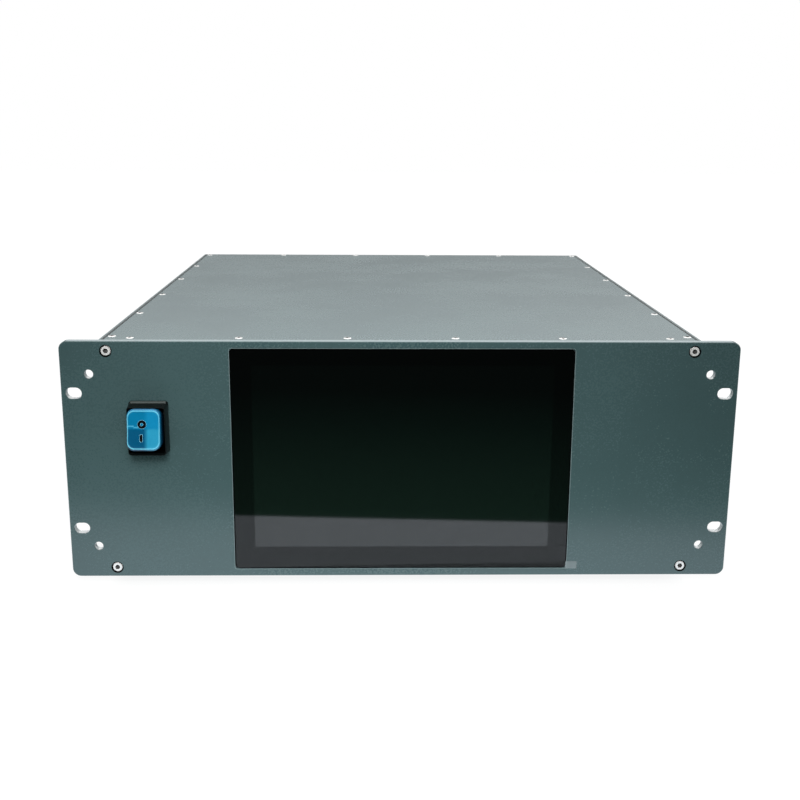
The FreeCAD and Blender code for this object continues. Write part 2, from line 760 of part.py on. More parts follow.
repeat(panel, corners, "X", "corner_apart", 2, "Z", "corner_rise", 2)

# --------------------------------------------------------------------------
# Side profiles: aluminium extrusions, each a wall with a screw boss along
# its top and bottom.  Every boss has a channel for the plate screws, which
# ends in a round port that takes the corner screws.
# --------------------------------------------------------------------------


def side_profile(label, hand):
    """One side profile: hand is 1 on the right and -1 on the left."""
    piece = body(label, y="inner_y", z="mid_z")
    wall_in = f"{hand} * wall_x"
    wall_out = f"{hand} * half_wide"
    boss = f"{hand} * boss_x"
    top = "body_high / 2"
    seat = "body_high / 2 - plate_thick"
    under = "body_high / 2 - plate_thick - boss_high"
    section = outline(
        (wall_out, f"-({top})"),
        (wall_out, top),
        (wall_in, top),
        (wall_in, seat),
        (boss, seat),
        (boss, under),
        (wall_in, under),
        (wall_in, f"-({under})"),
        (boss, f"-({under})"),
        (boss, f"-({seat})"),
        (wall_in, f"-({seat})"),
        (wall_in, f"-({top})"),
    )
    extrude(piece, sketch(piece, "XZ", section), "body_deep")
    row = f"{hand} * side_row_x"
    port_x = f"{hand} * corner_apart / 2"
    for sign in (1, -1):
        groove = box(
            f"{row} - channel_wide / 2",
            f"{row} + channel_wide / 2",
            f"{sign} * ({seat}) - ({1 if sign > 0 else 0}) * channel_deep",
            f"{sign} * ({seat}) + ({0 if sign > 0 else 1}) * channel_deep",
        )
        cut(piece, sketch(piece, "XZ", groove))
        port = gon("port", port_x, f"{sign} * port_z")
        cut(piece, sketch(piece, "XZ", port))
    vent = box("vent_first", "vent_first + vent_wide", "-vent_high / 2", "vent_high / 2")
    slot = cut(
        piece,
        sketch(piece, "YZ", vent, at=f"{hand} * (half_wide + 1)"),
        "side_thick + 2",
        way=-hand,
    )
    repeat(piece, slot, "Y", "vent_span", "vent_count")
    # the rear panel closes the body between the walls, so the bosses stop at it
    stop = middle_box(
        "boss_wide",
        "body_high - 2 * plate_thick",
        f"{hand} * (boss_x + boss_wide / 2)",
    )
    cut(
        piece,
        sketch(piece, "XZ", stop, at="body_deep"),
        "rear_thick",
        way=-1,
    )
    return piece


side_profile("left_side_profile", -1)
side_profile("right_side_profile", 1)

# --------------------------------------------------------------------------
# Cross bars tie the two profiles behind the front panel and at the rear.
# --------------------------------------------------------------------------


def cross_bars(label, y, fore):
    """An upper and a lower bar with a channel along the screw row at y."""
    piece = body(label, y=y, z="mid_z")
    seat = "(body_high / 2 - plate_thick)"
    low = f"{seat} - bar_high"
    edge = "channel_wide / 2"
    bed = f"{seat} - channel_deep"
    aft = f"bar_deep - ({fore})"
    section = outline(
        (f"-({fore})", low),
        (aft, low),
        (aft, seat),
        (edge, seat),
        (edge, bed),
        (f"-{edge}", bed),
        (f"-{edge}", seat),
        (f"-({fore})", seat),
    )
    upper = extrude(piece, sketch(piece, "YZ", section, at="-boss_x"), "2 * boss_x")
    mirror(piece, upper, "XY")
    return piece


cross_bars("front_cross_bars", "inner_y + front_row_y", "bar_deep / 2")
cross_bars(
    "rear_cross_bars", "rear_y - rear_row_y", "bar_deep - rear_row_y + rear_thick"
)

# --------------------------------------------------------------------------
# Top cover and bottom plate, and their countersunk screws.  The rows are
# first screw, length and count along X, then length and count along Y.
# --------------------------------------------------------------------------
SIDE_SPAN = "(body_deep - side_first - side_last)"
SIDE_ROWS = ("-side_row_x", "side_first", "2 * side_row_x", 2, SIDE_SPAN, "side_count")
FRONT_ROW = ("-front_row_x", "front_row_y", "2 * front_row_x", "front_count", None, 1)
REAR_ROW = (
    "-rear_row_x",
    "body_deep - rear_row_y",
    "2 * rear_row_x",
    "rear_count",
    None,
    1,
)
FLOOR_ROWS = SIDE_ROWS[:5] + ("floor_count",)


def in_rows(piece, features, row):
    """Repeat features over a row or a grid of screws."""
    _, _, length, count, length2, count2 = row
    if length2:
        return repeat(piece, features, "X", length, count, "Y", length2, count2)
    return repeat(piece, features, "X", length, count)


def plate(label, z, rows, up):
    """A plate between the side walls, countersunk on its outer face."""
    piece = body(label, y="inner_y", z=z)
    face = box("-(wall_x - seam)", "wall_x - seam", "seam", "body_deep")
    extrude(piece, sketch(piece, "XY", face), "plate_thick")
    outer = "plate_thick" if up > 0 else "0"
    for row in rows:
        spot = gon("csk_sink / 2", row[0], row[1], 6)
        sink = cut(piece, sketch(piece, "XY", spot, at=outer), "plate_thick", way=-up)
        lean = "atan((csk_sink - csk_hole) / 2 / plate_thick)"
        bind(sink, "TaperAngle", f"-{lean}")
        doc.recompute()
        in_rows(piece, [sink], row)
    return piece


def plate_screws(label, z, rows, up):
    """Countersunk screws, their heads flush with the plate's outer face."""
    piece = body(label, y="inner_y", z=z)
    cone = "(csk_head - csk_shank) / 2"
    for row in rows:
        wide = gon("csk_head / 2", row[0], row[1], 6)
        head = extrude(piece, sketch(piece, "XY", wide), cone, way=-up)
        in_rows(piece, [head], row)
    depth = -up * value(cone)
    under = edges_where(piece.Tip, lambda p: near(p.z, depth))
    soften(piece, "Chamfer", under, f"0.96 * {cone}")
    for row in rows:
        thin = gon("0.45 * csk_shank", row[0], row[1], 4)
        start = f"{-up} * {cone}"
        shank = extrude(
            piece,
            sketch(piece, "XY", thin, at=start),
            f"csk_long - {cone}",
            way=-up,
        )
        in_rows(piece, [shank], row)
    return piece


cover = plate("top_cover", "ceil_z", (SIDE_ROWS, FRONT_ROW, REAR_ROW), 1)
plate_screws("cover_screws", "roof_z", (SIDE_ROWS, FRONT_ROW, REAR_ROW), 1)
bottom = plate("bottom_plate", "base_z", (FLOOR_ROWS,), -1)
plate_screws("bottom_screws", "base_z", (FLOOR_ROWS,), -1)
# Rubber feet, tapered towards the floor.
foot_x = "(half_wide - foot_inset_x)"
foot_span = "(body_deep - 2 * foot_inset_y)"
feet = body("rubber_feet", x=f"-{foot_x}", y="inner_y + foot_inset_y")
foot = extrude(
    feet,
    sketch(feet, "XY", gon("foot_wide / 2", sides=16), at="foot_high"),
    "foot_high",
    way=-1,
)
bind(foot, "TaperAngle", "-atan(foot_taper / foot_high)")
doc.recompute()
repeat(feet, foot, "X", f"2 * {foot_x}", 2, "Y", foot_span, 2)

# Corner screws: socket heads let into the front panel, shanks in the ports.
screws = body(
    "panel_corner_screws",
    x="-corner_apart / 2",
    y="front_y + bore_deep",
    z="mid_z - corner_rise / 2",
)
head = extrude(
    screws, sketch(screws, "XZ", gon("cap_head / 2", sides=12)), "cap_head_high", -1
)
shank = extrude(
    screws,
    sketch(screws, "XZ", gon("cap_shank / 2")),
    "panel_thick - bore_deep + cap_grip",
)
key = cut(
    screws, sketch(screws, "XZ", hexagon("cap_key"), at="-cap_head_high"), "cap_key_deep"
)
repeat(screws, [head, shank, key], "X", "corner_apart", 2, "Z", "corner_rise", 2)

# --------------------------------------------------------------------------
# Rear panel with all its openings, and the screws that hold it.
# --------------------------------------------------------------------------
rear = body("rear_panel", y="rear_in", z="mid_z")
extrude(
    rear,
    sketch(
        rear, "XZ", middle_box("2 * (wall_x - seam)", "body_high - 2 * plate_thick")
    ),
    "rear_thick",
)
windows = [
    middle_box("data_body + 0.6", "data_high - 2", "socket_x", "data_z"),
    middle_box("inlet_wide + 0.6", "inlet_high + 0.6", "inlet_x", "inlet_z"),
    gon("ground_body / 2 + 0.4", "inlet_x", "ground_z"),
]
cut(rear, sketch(rear, "XZ", *windows))
for centre in ("fan_left_x", "fan_right_x"):
    slot = cut(
        rear,
        sketch(
            rear,
            "XZ",
            middle_box(
                "grille_wide",
                "grille_slot",
                f"{centre} - grille_apart / 2",
                "-grille_span / 2",
            ),
        ),
    )
    repeat(rear, slot, "X", "grille_apart", 2, "Z", "grille_span", "grille_count")
    hole = cut(
        rear,
        sketch(
            rear,
            "XZ",
            gon(
                "cap_shank / 2 + hole_gap",
                f"{centre} - fan_pitch / 2",
                "-fan_pitch / 2",
            ),
        ),
    )
    repeat(rear, hole, "X", "fan_pitch", 2, "Z", "fan_pitch", 2)
hole = cut(
    rear,
    sketch(
        rear,
        "XZ",
        gon("socket_size / 2", "socket_x - socket_apart / 2", "socket_z", 16),
    ),
)
repeat(rear, hole, "X", "socket_apart", 2)
hole = cut(
    rear,
    sketch(rear, "XZ", gon("jack_size / 2", "socket_x - jack_span / 2", "jack_z")),
)
repeat(rear, hole, "X", "jack_span", "jack_count")

# --------------------------------------------------------------------------
# Display: glass, its film, gasket, module, tray, studs and driver board.
# --------------------------------------------------------------------------
SCREEN = {"x": "display_x", "z": "mid_z + display_z"}
glass = body("display_glass", y="front_y", **SCREEN)
extrude(
    glass,
    sketch(glass, "XZ", round_box("glass_wide", "glass_high", "glass_corner")),
    "glass_thick",
)
film = body("protective_film", y="front_y - film_thick", **SCREEN)
edge = "glass_wide / 2 - glass_corner"
low = "-glass_high / 2"
film_outline = outline(
    ("-glass_wide / 2", low),
    (edge, low),
    (edge, f"{low} - tab_drop"),
    ("glass_wide / 2 + tab_wide", f"{low} - tab_drop"),
    ("glass_wide / 2 + tab_wide", f"{low} - tab_drop + tab_high"),
    ("glass_wide / 2", f"{low} - tab_drop + tab_high"),
    ("glass_wide / 2", "glass_high / 2"),
    ("-glass_wide / 2", "glass_high / 2"),
)
extrude(film, sketch(film, "XZ", film_outline), "film_thick")
gasket = body("display_gasket", y="front_y + opening_bevel + 0.3", **SCREEN)
extrude(
    gasket,
    sketch(
        gasket,
        "XZ",
        cant_box(
            "2 * (cut_wide_all - gasket_gap)",
            "2 * (cut_high_all - gasket_gap)",
            "1.2 * glass_corner",
        ),
        cant_box("glass_wide", "glass_high", "0.55 * glass_corner"),
    ),
    "panel_thick - opening_bevel - 0.3",
)
module = body(
    "lcd_module", x="display_x", y="front_y + glass_thick", z="mid_z + display_z + lcd_rise"
)
extrude(
    module, sketch(module, "XZ", middle_box("lcd_wide", "lcd_high")), "lcd_thick"
)
tray = body("display_tray", y="inner_y", x="display_x", z="mid_z + display_z")
ears = middle_box("tray_wide + 2 * ear_wide", "ear_high")
extrude(tray, sketch(tray, "XZ", ears), "tray_wall")
extrude(
    tray,
    sketch(tray, "XZ", middle_box("tray_wide", "tray_high")),
    "tray_deep",
)
cut(
    tray,
    sketch(
        tray,
        "XZ",
        middle_box("tray_wide - 2 * tray_wall", "tray_high - 2 * tray_wall"),
    ),
    "tray_deep - tray_wall",
)
hole = cut(
    tray,
    sketch(
        tray,
        "XZ",
        gon("stud_size / 2 + hole_gap", "-stud_x", "-stud_rise / 2"),
    ),
)
repeat(tray, hole, "X", "2 * stud_x", 2, "Z", "stud_rise", 2)
pads = body(
    "display_pads",
    x="display_x - lcd_wide / 2",
    y="front_y + lcd_back",
    z="mid_z + display_z - lcd_high / 4",
)
strip = extrude(
    pads,
    sketch(pads, "XZ", box("10", "22", "0", "lcd_high / 2")),
    "panel_thick + tray_deep - tray_wall - lcd_back",
)
repeat(pads, strip, "X", "lcd_wide - 32", 2)
studs = body(
    "display_studs",
    x="display_x - stud_x",
    y="inner_y",
    z="mid_z + display_z - stud_rise / 2",
)
stud = extrude(
    studs, sketch(studs, "XZ", gon("stud_size / 2")), "stud_long"
)
repeat(studs, stud, "X", "2 * stud_x", 2, "Z", "stud_rise", 2)
nuts = body(
    "display_nuts",
    x="display_x - stud_x",
    y="inner_y + tray_wall",
    z="mid_z + display_z - stud_rise / 2",
)
nut = extrude(
    nuts,
    sketch(
        nuts,
        "XZ",
        hexagon("nut_flats"),
        gon("stud_size / 2 + thread_gap"),
    ),
    "nut_high",
)
repeat(nuts, nut, "X", "2 * stud_x", 2, "Z", "stud_rise", 2)
spacers = body(
    "driver_board_spacers",
    x="display_x - driver_wide / 2 + 5",
    y="inner_y + tray_deep",
    z="mid_z + display_z - driver_high / 2 + 5",
)
spacer = extrude(spacers, sketch(spacers, "XZ", hexagon("spacer_flats")), "spacer_long")
repeat(spacers, spacer, "X", "driver_wide - 10", 2, "Z", "driver_high - 10", 2)
driver = body(
    "display_driver_board",
    x="display_x",
    y="inner_y + tray_deep + spacer_long",
    z="mid_z + display_z",
)
extrude(
    driver, sketch(driver, "XZ", middle_box("driver_wide", "driver_high")), "board_thick"
)
extrude(
    driver,
    sketch(
        driver,
        "XZ",
        middle_box("chip_size", "chip_size", "-20", "8"),
        middle_box("chip_size", "chip_size", "14", "8"),
        at="board_thick",
    ),
    "chip_high",
)
extrude(
    driver,
    sketch(
        driver,
        "XZ",
        middle_box("plug_wide", "plug_long", "0", "-driver_high / 2 + plug_long"),
        at="board_thick",
    ),
    "plug_high",
)

# --------------------------------------------------------------------------
# Power switch: bezel and body in one moulding, a hollow-faced rocker on a pivot.
# --------------------------------------------------------------------------
SWITCH = {"x": "switch_x", "z": "mid_z + switch_z"}
housing = body("switch_housing", y="front_y", **SWITCH)
bezel = extrude(
    housing,
    sketch(housing, "XZ", cant_box("switch_wide", "switch_high", "switch_corner")),
    "switch_stand",
    way=-1,
)
bind(bezel, "TaperAngle", "-switch_draft")
extrude(
    housing, sketch(housing, "XZ", middle_box("neck_wide", "neck_high")), "neck_long"
)
cut(
    housing,
    sketch(
        housing,
        "XZ",
        middle_box("well_wide", "well_high"),
        at="-switch_stand",
    ),
    "switch_stand - pivot_out + rocker_back + well_clear",
)
cut(
    housing,
    sketch(
        housing,
        "YZ",
        gon("(pivot_size / 2 + pivot_gap) / cos(22.5)", "-pivot_out"),
        at="-(rocker_wide / 2 + pivot_long + 0.1)",
    ),
    "rocker_wide + 2 * pivot_long + 0.2",
)

rocker = body("switch_rocker", y="front_y - pivot_out", **SWITCH)
rocker.Placement.Rotation = FreeCAD.Rotation(FreeCAD.Vector(1, 0, 0), -1)
bind(rocker, "Placement.Rotation.Angle", "-rocker_swing / 2")
side_view = outline(
    ("-(rocker_front - rocker_dish)", "0"),
    ("-rocker_front", "rocker_high / 2"),
    ("-rocker_skirt", "rocker_high / 2"),
    ("rocker_back", "rocker_high / 5"),
    ("rocker_back", "-rocker_high / 5"),
    ("-rocker_skirt", "-rocker_high / 2"),
    ("-rocker_front", "-rocker_high / 2"),
)
extrude(
    rocker, sketch(rocker, "YZ", side_view, at="-rocker_wide / 2"), "rocker_wide"
)
half_x = value("rocker_wide / 2")
half_z = value("rocker_high / 2")
skirt = value("rocker_skirt")
rims = edges_where(
    rocker.Tip,
    lambda p: near(abs(p.x), half_x) and near(abs(p.z), half_z) and p.y < 1 - skirt,
)
verticals = []
for name in rims:
    edge_shape = rocker.Tip.Shape.getElement(name)
    a, b = [vertex.Point for vertex in edge_shape.Vertexes]
    if near(a.x, b.x) and near(a.z, b.z):
        verticals.append(name)
soften(rocker, "Fillet", verticals, "rocker_corner")
front = -value("rocker_front - rocker_dish")
rims = []
for index, edge_shape in enumerate(rocker.Tip.Shape.Edges, start=1):
    box_of = edge_shape.BoundBox
    if box_of.YMax > front + 0.05:
        continue
    if near(box_of.ZMin, 0) and near(box_of.ZMax, 0):
        continue
    rims.append(f"Edge{index}")
soften(rocker, "Chamfer", rims, "rocker_edge")
extrude(
    rocker,
    sketch(
        rocker,
        "YZ",
        gon("pivot_size / 2"),
        at="-(rocker_wide / 2 + pivot_long)",
    ),
    "rocker_wide + 2 * pivot_long",
)
terminals = body("switch_terminals", y="front_y + neck_long", **SWITCH)
blade = extrude(
    terminals,
    sketch(
        terminals,
        "XZ",
        middle_box("blade_thick", "blade_wide", "-blade_apart / 2", "-blade_rise / 2"),
    ),
    "blade_long",
)
repeat(terminals, blade, "X", "blade_apart", 2, "Z", "blade_rise", 2)

# --------------------------------------------------------------------------
# Cooling fans, blowing out through the rear panel.
# --------------------------------------------------------------------------


def fan_frame(label, x):
    """Square frame, bore, struts, and a motor base with the bearing."""
    piece = body(label, x=x, y="fan_front", z="mid_z")
    square = cant_box("fan_size", "fan_size", "fan_corner")
    bore = gon("fan_bore / 2 / cos(7.5)", sides=24)
    extrude(piece, sketch(piece, "XZ", square, bore), "fan_deep")
    hole = cut(
        piece,
        sketch(
            piece,
            "XZ",
            gon("cap_shank / 2 + hole_gap", "-fan_pitch / 2", "-fan_pitch / 2"),
        ),
    )
    repeat(piece, hole, "X", "fan_pitch", 2, "Z", "fan_pitch", 2)
    base = "fan_deep - fan_motor_thick"
    strut = middle_box("fan_bore + 2", "fan_strut")
    limb = extrude(piece, sketch(piece, "XZ", strut, at=base), "fan_motor_thick")
    spin(piece, [limb], "Y", 4)
    disc = gon("fan_motor / 2", sides=16)
    extrude(piece, sketch(piece, "XZ", disc, at=base), "fan_motor_thick")
    bearing = circle("0", "0", "axle_size / 2 + axle_gap")
    cut(piece, sketch(piece, "XZ", bearing, at=base), "fan_motor_thick - 1")
    return piece


def fan_rotor(label, x):
    """Cup hub on an axle, with twisted, cambered blades."""
    piece = body(label, x=x, y="fan_front", z="mid_z")
    back = "(fan_deep - fan_motor_thick - hub_gap)"
    nose = f"({back} - hub_deep)"
    hub = gon("hub_wide / 2", sides=24)
    extrude(piece, sketch(piece, "XZ", hub, at=nose), "hub_deep")
    middle = f"({back} - hub_deep / 2)"

    def wing_section(skew):
        """Cambered section in flats, its chord leaning by skew to each side."""
        upper = []
        lower = []
        for share in (-0.5, 0, 0.5):
            along = f"{middle} + {share} * wing_chord"
            bow = f"({1 - 4 * share * share}) * wing_belly"
            across = f"{2 * share} * ({skew}) - {bow}"
            upper.append((along, f"{across} + wing_thick / 2"))
            lower.append((along, f"{across} - wing_thick / 2"))
        return outline(*lower, *reversed(upper))

    root = wing_section("wing_root_skew")
    tip = wing_section("wing_tip_skew")
    wing = piece.newObject("PartDesign::AdditiveLoft", "Wing")
    wing.Profile = sketch(piece, "YZ", root, at="0.35 * hub_wide")
    wing.Sections = [sketch(piece, "YZ", tip, at="fan_bore / 2 - 2 * wing_gap")]
    wing.Ruled = True
    doc.recompute()
    spin(piece, [wing], "Y", "wing_count")
    cup = gon("hub_wide / 2 - hub_wall", sides=24)
    cut(piece, sketch(piece, "XZ", cup, at=back), "hub_deep - hub_wall", way=-1)
    axle = circle("0", "0", "axle_size / 2")
    extrude(
        piece,
        sketch(piece, "XZ", axle, at=f"{nose} + hub_wall / 2"),
        f"fan_deep - 2 - {nose} - hub_wall / 2",
    )
    return piece


for side in ("left", "right"):
    fan_frame(f"{side}_fan_frame", f"fan_{side}_x")
    fan_rotor(f"{side}_fan_rotor", f"fan_{side}_x")
screws = body("fan_screws", y="rear_y", z="mid_z - fan_pitch / 2")
for centre in ("fan_left_x", "fan_right_x"):
    place = f"{centre} - fan_pitch / 2"
    wide = gon("fan_screw_head / 2", place)
    thin = gon("cap_shank / 2", place, sides=4)
    head = extrude(screws, sketch(screws, "XZ", wide), "fan_screw_head_high")
    shank = extrude(
        screws, sketch(screws, "XZ", thin), "rear_thick + fan_deep / 3", way=-1
    )
    repeat(screws, [head, shank], "X", "fan_pitch", 2, "Z", "fan_pitch", 2)

# --------------------------------------------------------------------------
# Rear connectors.
# --------------------------------------------------------------------------
SOCKETS = {
    "x": "socket_x - socket_apart / 2",
    "y": "rear_y",
    "z": "mid_z + socket_z",
}
sockets = body("rf_sockets", **SOCKETS)
flange = extrude(
    sockets,
    sketch(sockets, "XZ", middle_box("socket_plate", "socket_plate")),
    "socket_plate_thick",
)
barrel = extrude(
    sockets, sketch(sockets, "XZ", circle("0", "0", "socket_size / 2")), "socket_out"
)
tail = extrude(
    sockets,
    sketch(sockets, "XZ", gon("socket_tail / 2")),
    "rear_thick + socket_in",
    way=-1,
)
bore = cut(
    sockets,
    sketch(sockets, "XZ", gon("socket_bore / 2", sides=16), at="socket_out"),
    "socket_bore_deep",
    way=-1,
)
repeat(sockets, [flange, barrel, tail, bore], "X", "socket_apart", 2)
insulators = body("socket_insulators", **SOCKETS)
fill = extrude(
    insulators,
    sketch(
        insulators,
        "XZ",
        gon("socket_bore / 2 - thread_gap", sides=16),
        at="socket_out - socket_bore_deep",
    ),
    "socket_bore_deep - insulator_sink",
)
repeat(insulators, fill, "X", "socket_apart", 2)

jacks = body("phono_jacks", x="socket_x - jack_span / 2", y="rear_y", z="mid_z + jack_z")
collar = extrude(jacks, sketch(jacks, "XZ", hexagon("jack_flats")), "jack_nut")
shell = extrude(
    jacks, sketch(jacks, "XZ", gon("jack_size / 2", sides=12)), "jack_long"
)
tail = extrude(
    jacks,
    sketch(jacks, "XZ", gon("jack_size / 2 - 1")),
    "rear_thick + jack_long / 2",
    way=-1,
)
well = cut(
    jacks,
    sketch(jacks, "XZ", gon("jack_pin / 2"), at="jack_long"),
    "jack_long - 1",
    way=-1,
)
repeat(jacks, [collar, shell, tail, well], "X", "jack_span", "jack_count")

data = body("data_connector", x="socket_x", y="rear_y", z="mid_z + data_z")
extrude(data, sketch(data, "XZ", middle_box("data_wide", "data_high")), "data_thick")
mouth = outline(
    ("-data_mouth_wide / 2 + 1.2", "-data_mouth_high / 2"),
    ("data_mouth_wide / 2 - 1.2", "-data_mouth_high / 2"),
    ("data_mouth_wide / 2", "data_mouth_high / 2"),
    ("-data_mouth_wide / 2", "data_mouth_high / 2"),
)
throat = outline(
    ("-data_mouth_wide / 2 + 1.2 + data_wall", "-data_mouth_high / 2 + data_wall"),
    ("data_mouth_wide / 2 - 1.2 - data_wall", "-data_mouth_high / 2 + data_wall"),
    ("data_mouth_wide / 2 - data_wall", "data_mouth_high / 2 - data_wall"),
    ("-data_mouth_wide / 2 + data_wall", "data_mouth_high / 2 - data_wall"),
)
extrude(data, sketch(data, "XZ", mouth), "data_mouth_out")
extrude(
    data,
    sketch(data, "XZ", middle_box("data_body", "data_high - 2.4")),
    "data_deep",
    way=-1,
)
cut(
    data,
    sketch(data, "XZ", throat, at="data_mouth_out"),
    "data_mouth_out - data_thick",
    way=-1,
)

INLET = {"x": "inlet_x", "y": "rear_y", "z": "mid_z + inlet_z"}
inlet = body("mains_inlet", **INLET)
extrude(
    inlet,
    sketch(inlet, "XZ", middle_box("inlet_plate_wide", "inlet_plate_high")),
    "inlet_plate_thick",
)
extrude(
    inlet, sketch(inlet, "XZ", middle_box("inlet_wide", "inlet_high")), "inlet_deep", -1
)
cut(
    inlet,
    sketch(
        inlet,
        "XZ",
        middle_box("inlet_mouth_wide", "inlet_mouth_high"),
        at="inlet_plate_thick",
    ),
    "inlet_mouth_deep",
    way=-1,
)
prongs = body(
    "inlet_prongs", x="inlet_x", y="rear_y + inlet_plate_thick - inlet_mouth_deep",
    z="mid_z + inlet_z"
)
extrude(
    prongs,
    sketch(
        prongs,
        "XZ",
        middle_box("prong_wide", "prong_thick", "prong_shift", "0"),
        middle_box("prong_wide", "prong_thick", "-1", "prong_rise / 2 + 1.5"),
        middle_box("prong_wide", "prong_thick", "-1", "-prong_rise / 2 - 1.5"),
    ),
    "prong_long",
)
screws = body(
    "inlet_screws",
    x="inlet_x",
    y="rear_y + inlet_plate_thick",
    z="mid_z + inlet_z - inlet_fix / 2",
)
head = extrude(
    screws, sketch(screws, "XZ", gon("csk_head / 2")), "csk_shank / 2"
)
shank = extrude(
    screws,
    sketch(screws, "XZ", gon("csk_shank / 2", sides=4)),
    "inlet_plate_thick + rear_thick + 2",
    way=-1,
)
repeat(screws, [head, shank], "Z", "inlet_fix", 2)
for piece, x, z in ((inlet, "0", "0"), (rear, "inlet_x", "inlet_z")):
    low = gon("csk_shank / 2 + hole_gap", x, f"{z} - inlet_fix / 2")
    high = gon("csk_shank / 2 + hole_gap", x, f"{z} + inlet_fix / 2")
    cut(piece, sketch(piece, "XZ", low, high))

# Ground stud: a body held by a nut inside, a flange outside and the pin on it.
stud = body("ground_stud", x="inlet_x", y="rear_y", z="mid_z + ground_z")
extrude(
    stud,
    sketch(stud, "XZ", gon("ground_body / 2")),
    "rear_thick + ground_nut_high + 2",
    way=-1,
)
extrude(stud, sketch(stud, "XZ", hexagon("ground_flats")), "ground_flange")
extrude(
    stud,
    sketch(stud, "XZ", circle("0", "0", "ground_size / 2"), at="ground_flange"),
    "ground_out - ground_flange",
)
nut = body("ground_nut", x="inlet_x", y="rear_in", z="mid_z + ground_z")
nut_ring = (hexagon("ground_flats"), gon("ground_body / 2 + thread_gap"))
extrude(nut, sketch(nut, "XZ", *nut_ring), "ground_nut_high", way=-1)

# --------------------------------------------------------------------------
# Amplifier module on its heatsink.
# --------------------------------------------------------------------------
sink = body("heatsink", x="sink_x", y="sink_mid_y - sink_long / 2", z="floor_z")
extrude(
    sink,
    sketch(
        sink,
        "XZ",
        middle_box("sink_wide", "sink_base", "0", "fin_high + sink_base / 2"),
    ),
    "sink_long",
)
fin = extrude(
    sink,
    sketch(
        sink,
        "XZ",
        box("-sink_wide / 2", "-sink_wide / 2 + fin_thick", "0", "fin_high + 1"),
    ),
    "sink_long",
)
repeat(sink, fin, "X", "sink_wide - fin_thick", "fin_count")
MODULE = {"x": "sink_x", "y": "sink_mid_y"}
copper = body("copper_spreader", z="sink_top", **MODULE)
extrude(
    copper, sketch(copper, "XY", middle_box("copper_wide", "copper_long")), "copper_thick"
)
board = body("amplifier_board", z="copper_top", **MODULE)
extrude(
    board,
    sketch(
        board,
        "XY",
        middle_box("copper_wide", "copper_long"),
        middle_box("cut_wide", "cut_long"),
    ),
    "board_thick",
)
die = body("power_transistor", z="copper_top", **MODULE)
extrude(die, sketch(die, "XY", middle_box("cut_wide - 1", "cut_long - 1")), "1.2")
extrude(die, sketch(die, "XY", middle_box("die_wide", "die_long")), "die_high")
core = body(
    "output_transformer",
    x="sink_x",
    y="sink_mid_y + core_y - core_long / 2",
    z="copper_top + board_thick",
)
extrude(
    core,
    sketch(
        core,
        "XZ",
        middle_box("core_wide", "core_high", "0", "core_high / 2"),
        gon("core_bore / 2", "-core_wide / 4", "core_high / 2"),
        gon("core_bore / 2", "core_wide / 4", "core_high / 2"),
    ),
    "core_long",
)
pill = body(
    "input_transformer", x="sink_x", y="sink_mid_y + pill_y", z="copper_top + board_thick"
)
extrude(pill, sketch(pill, "XY", middle_box("pill_wide", "pill_long")), "pill_high")
choke = body(
    "supply_choke",
    x="sink_x + choke_x",
    y="sink_mid_y",
    z="copper_top + board_thick",
)
extrude(
    choke,
    sketch(
        choke,
        "XY",
        gon("choke_size / 2", sides=8),
        gon("choke_bore / 2", sides=8),
    ),
    "choke_high",
)

# --------------------------------------------------------------------------
# Low-pass filter board, standing along the right-hand wall.
# --------------------------------------------------------------------------
FILTER = {"y": "filter_mid_y", "z": "mid_z"}
board = body("filter_board", x="board_x", **FILTER)
extrude(
    board, sketch(board, "YZ", middle_box("filter_long", "filter_high")), "board_thick"
)
spacers = body("filter_board_spacers", x="board_x + board_thick", **FILTER)
spacer = extrude(
    spacers,
    sketch(
        spacers,
        "YZ",
        hexagon("spacer_flats", "-filter_long / 2 + 8", "-filter_high / 2 + 8"),
    ),
    "filter_stand",
)
repeat(spacers, spacer, "Y", "filter_long - 16", 2, "Z", "filter_high - 16", 2)
rings = body(
    "filter_toroids",
    x="board_x",
    y="filter_mid_y - ring_span / 2",
    z="mid_z - ring_rise / 2",
)
ring = extrude(
    rings,
    sketch(
        rings,
        "YZ",
        gon("ring_size / 2", sides=8),
        gon("ring_bore / 2", sides=8),
    ),
    "ring_thick",
    way=-1,
)
repeat(rings, ring, "Y", "ring_span", "ring_count", "Z", "ring_rise", 2)
relays = body(
    "filter_relays",
    x="board_x",
    y="filter_mid_y - ring_span / 2",
    z="mid_z - relay_rise / 2",
)
relay = extrude(
    relays,
    sketch(relays, "YZ", middle_box("relay_long", "relay_high")),
    "relay_deep",
    way=-1,
)
repeat(relays, relay, "Y", "ring_span", "ring_count", "Z", "relay_rise", 2)

# --------------------------------------------------------------------------
# Power supply in its perforated case, with two output lugs.
# --------------------------------------------------------------------------
supply = body("power_supply", x="supply_x", y="supply_mid_y", z="floor_z")
extrude(
    supply,
    sketch(supply, "XY", middle_box("supply_wide", "supply_long")),
    "supply_high",
)
hollow = middle_box("supply_wide - 2 * supply_wall", "supply_long - 2 * supply_wall")
cut(supply, sketch(supply, "XY", hollow), "supply_high - supply_wall")
for sign in (1, -1):
    face = f"{sign} * supply_long / 2"
    slot = cut(
        supply,
        sketch(
            supply,
            "XZ",
            box(
                "-supply_slot_span / 2 - supply_slot / 2",
                "-supply_slot_span / 2 + supply_slot / 2",
                "(supply_high - supply_slot_high) / 2",
                "(supply_high + supply_slot_high) / 2",
            ),
            at=face,
        ),
        "2 * supply_wall",
        way=-sign,
    )
    repeat(supply, slot, "X", "supply_slot_span", "supply_slots")
lugs = body(
    "supply_lugs", x="supply_x + supply_wide / 2 - lug_apart",
    y="supply_mid_y + supply_long / 2", z="floor_z + supply_high / 2"
)
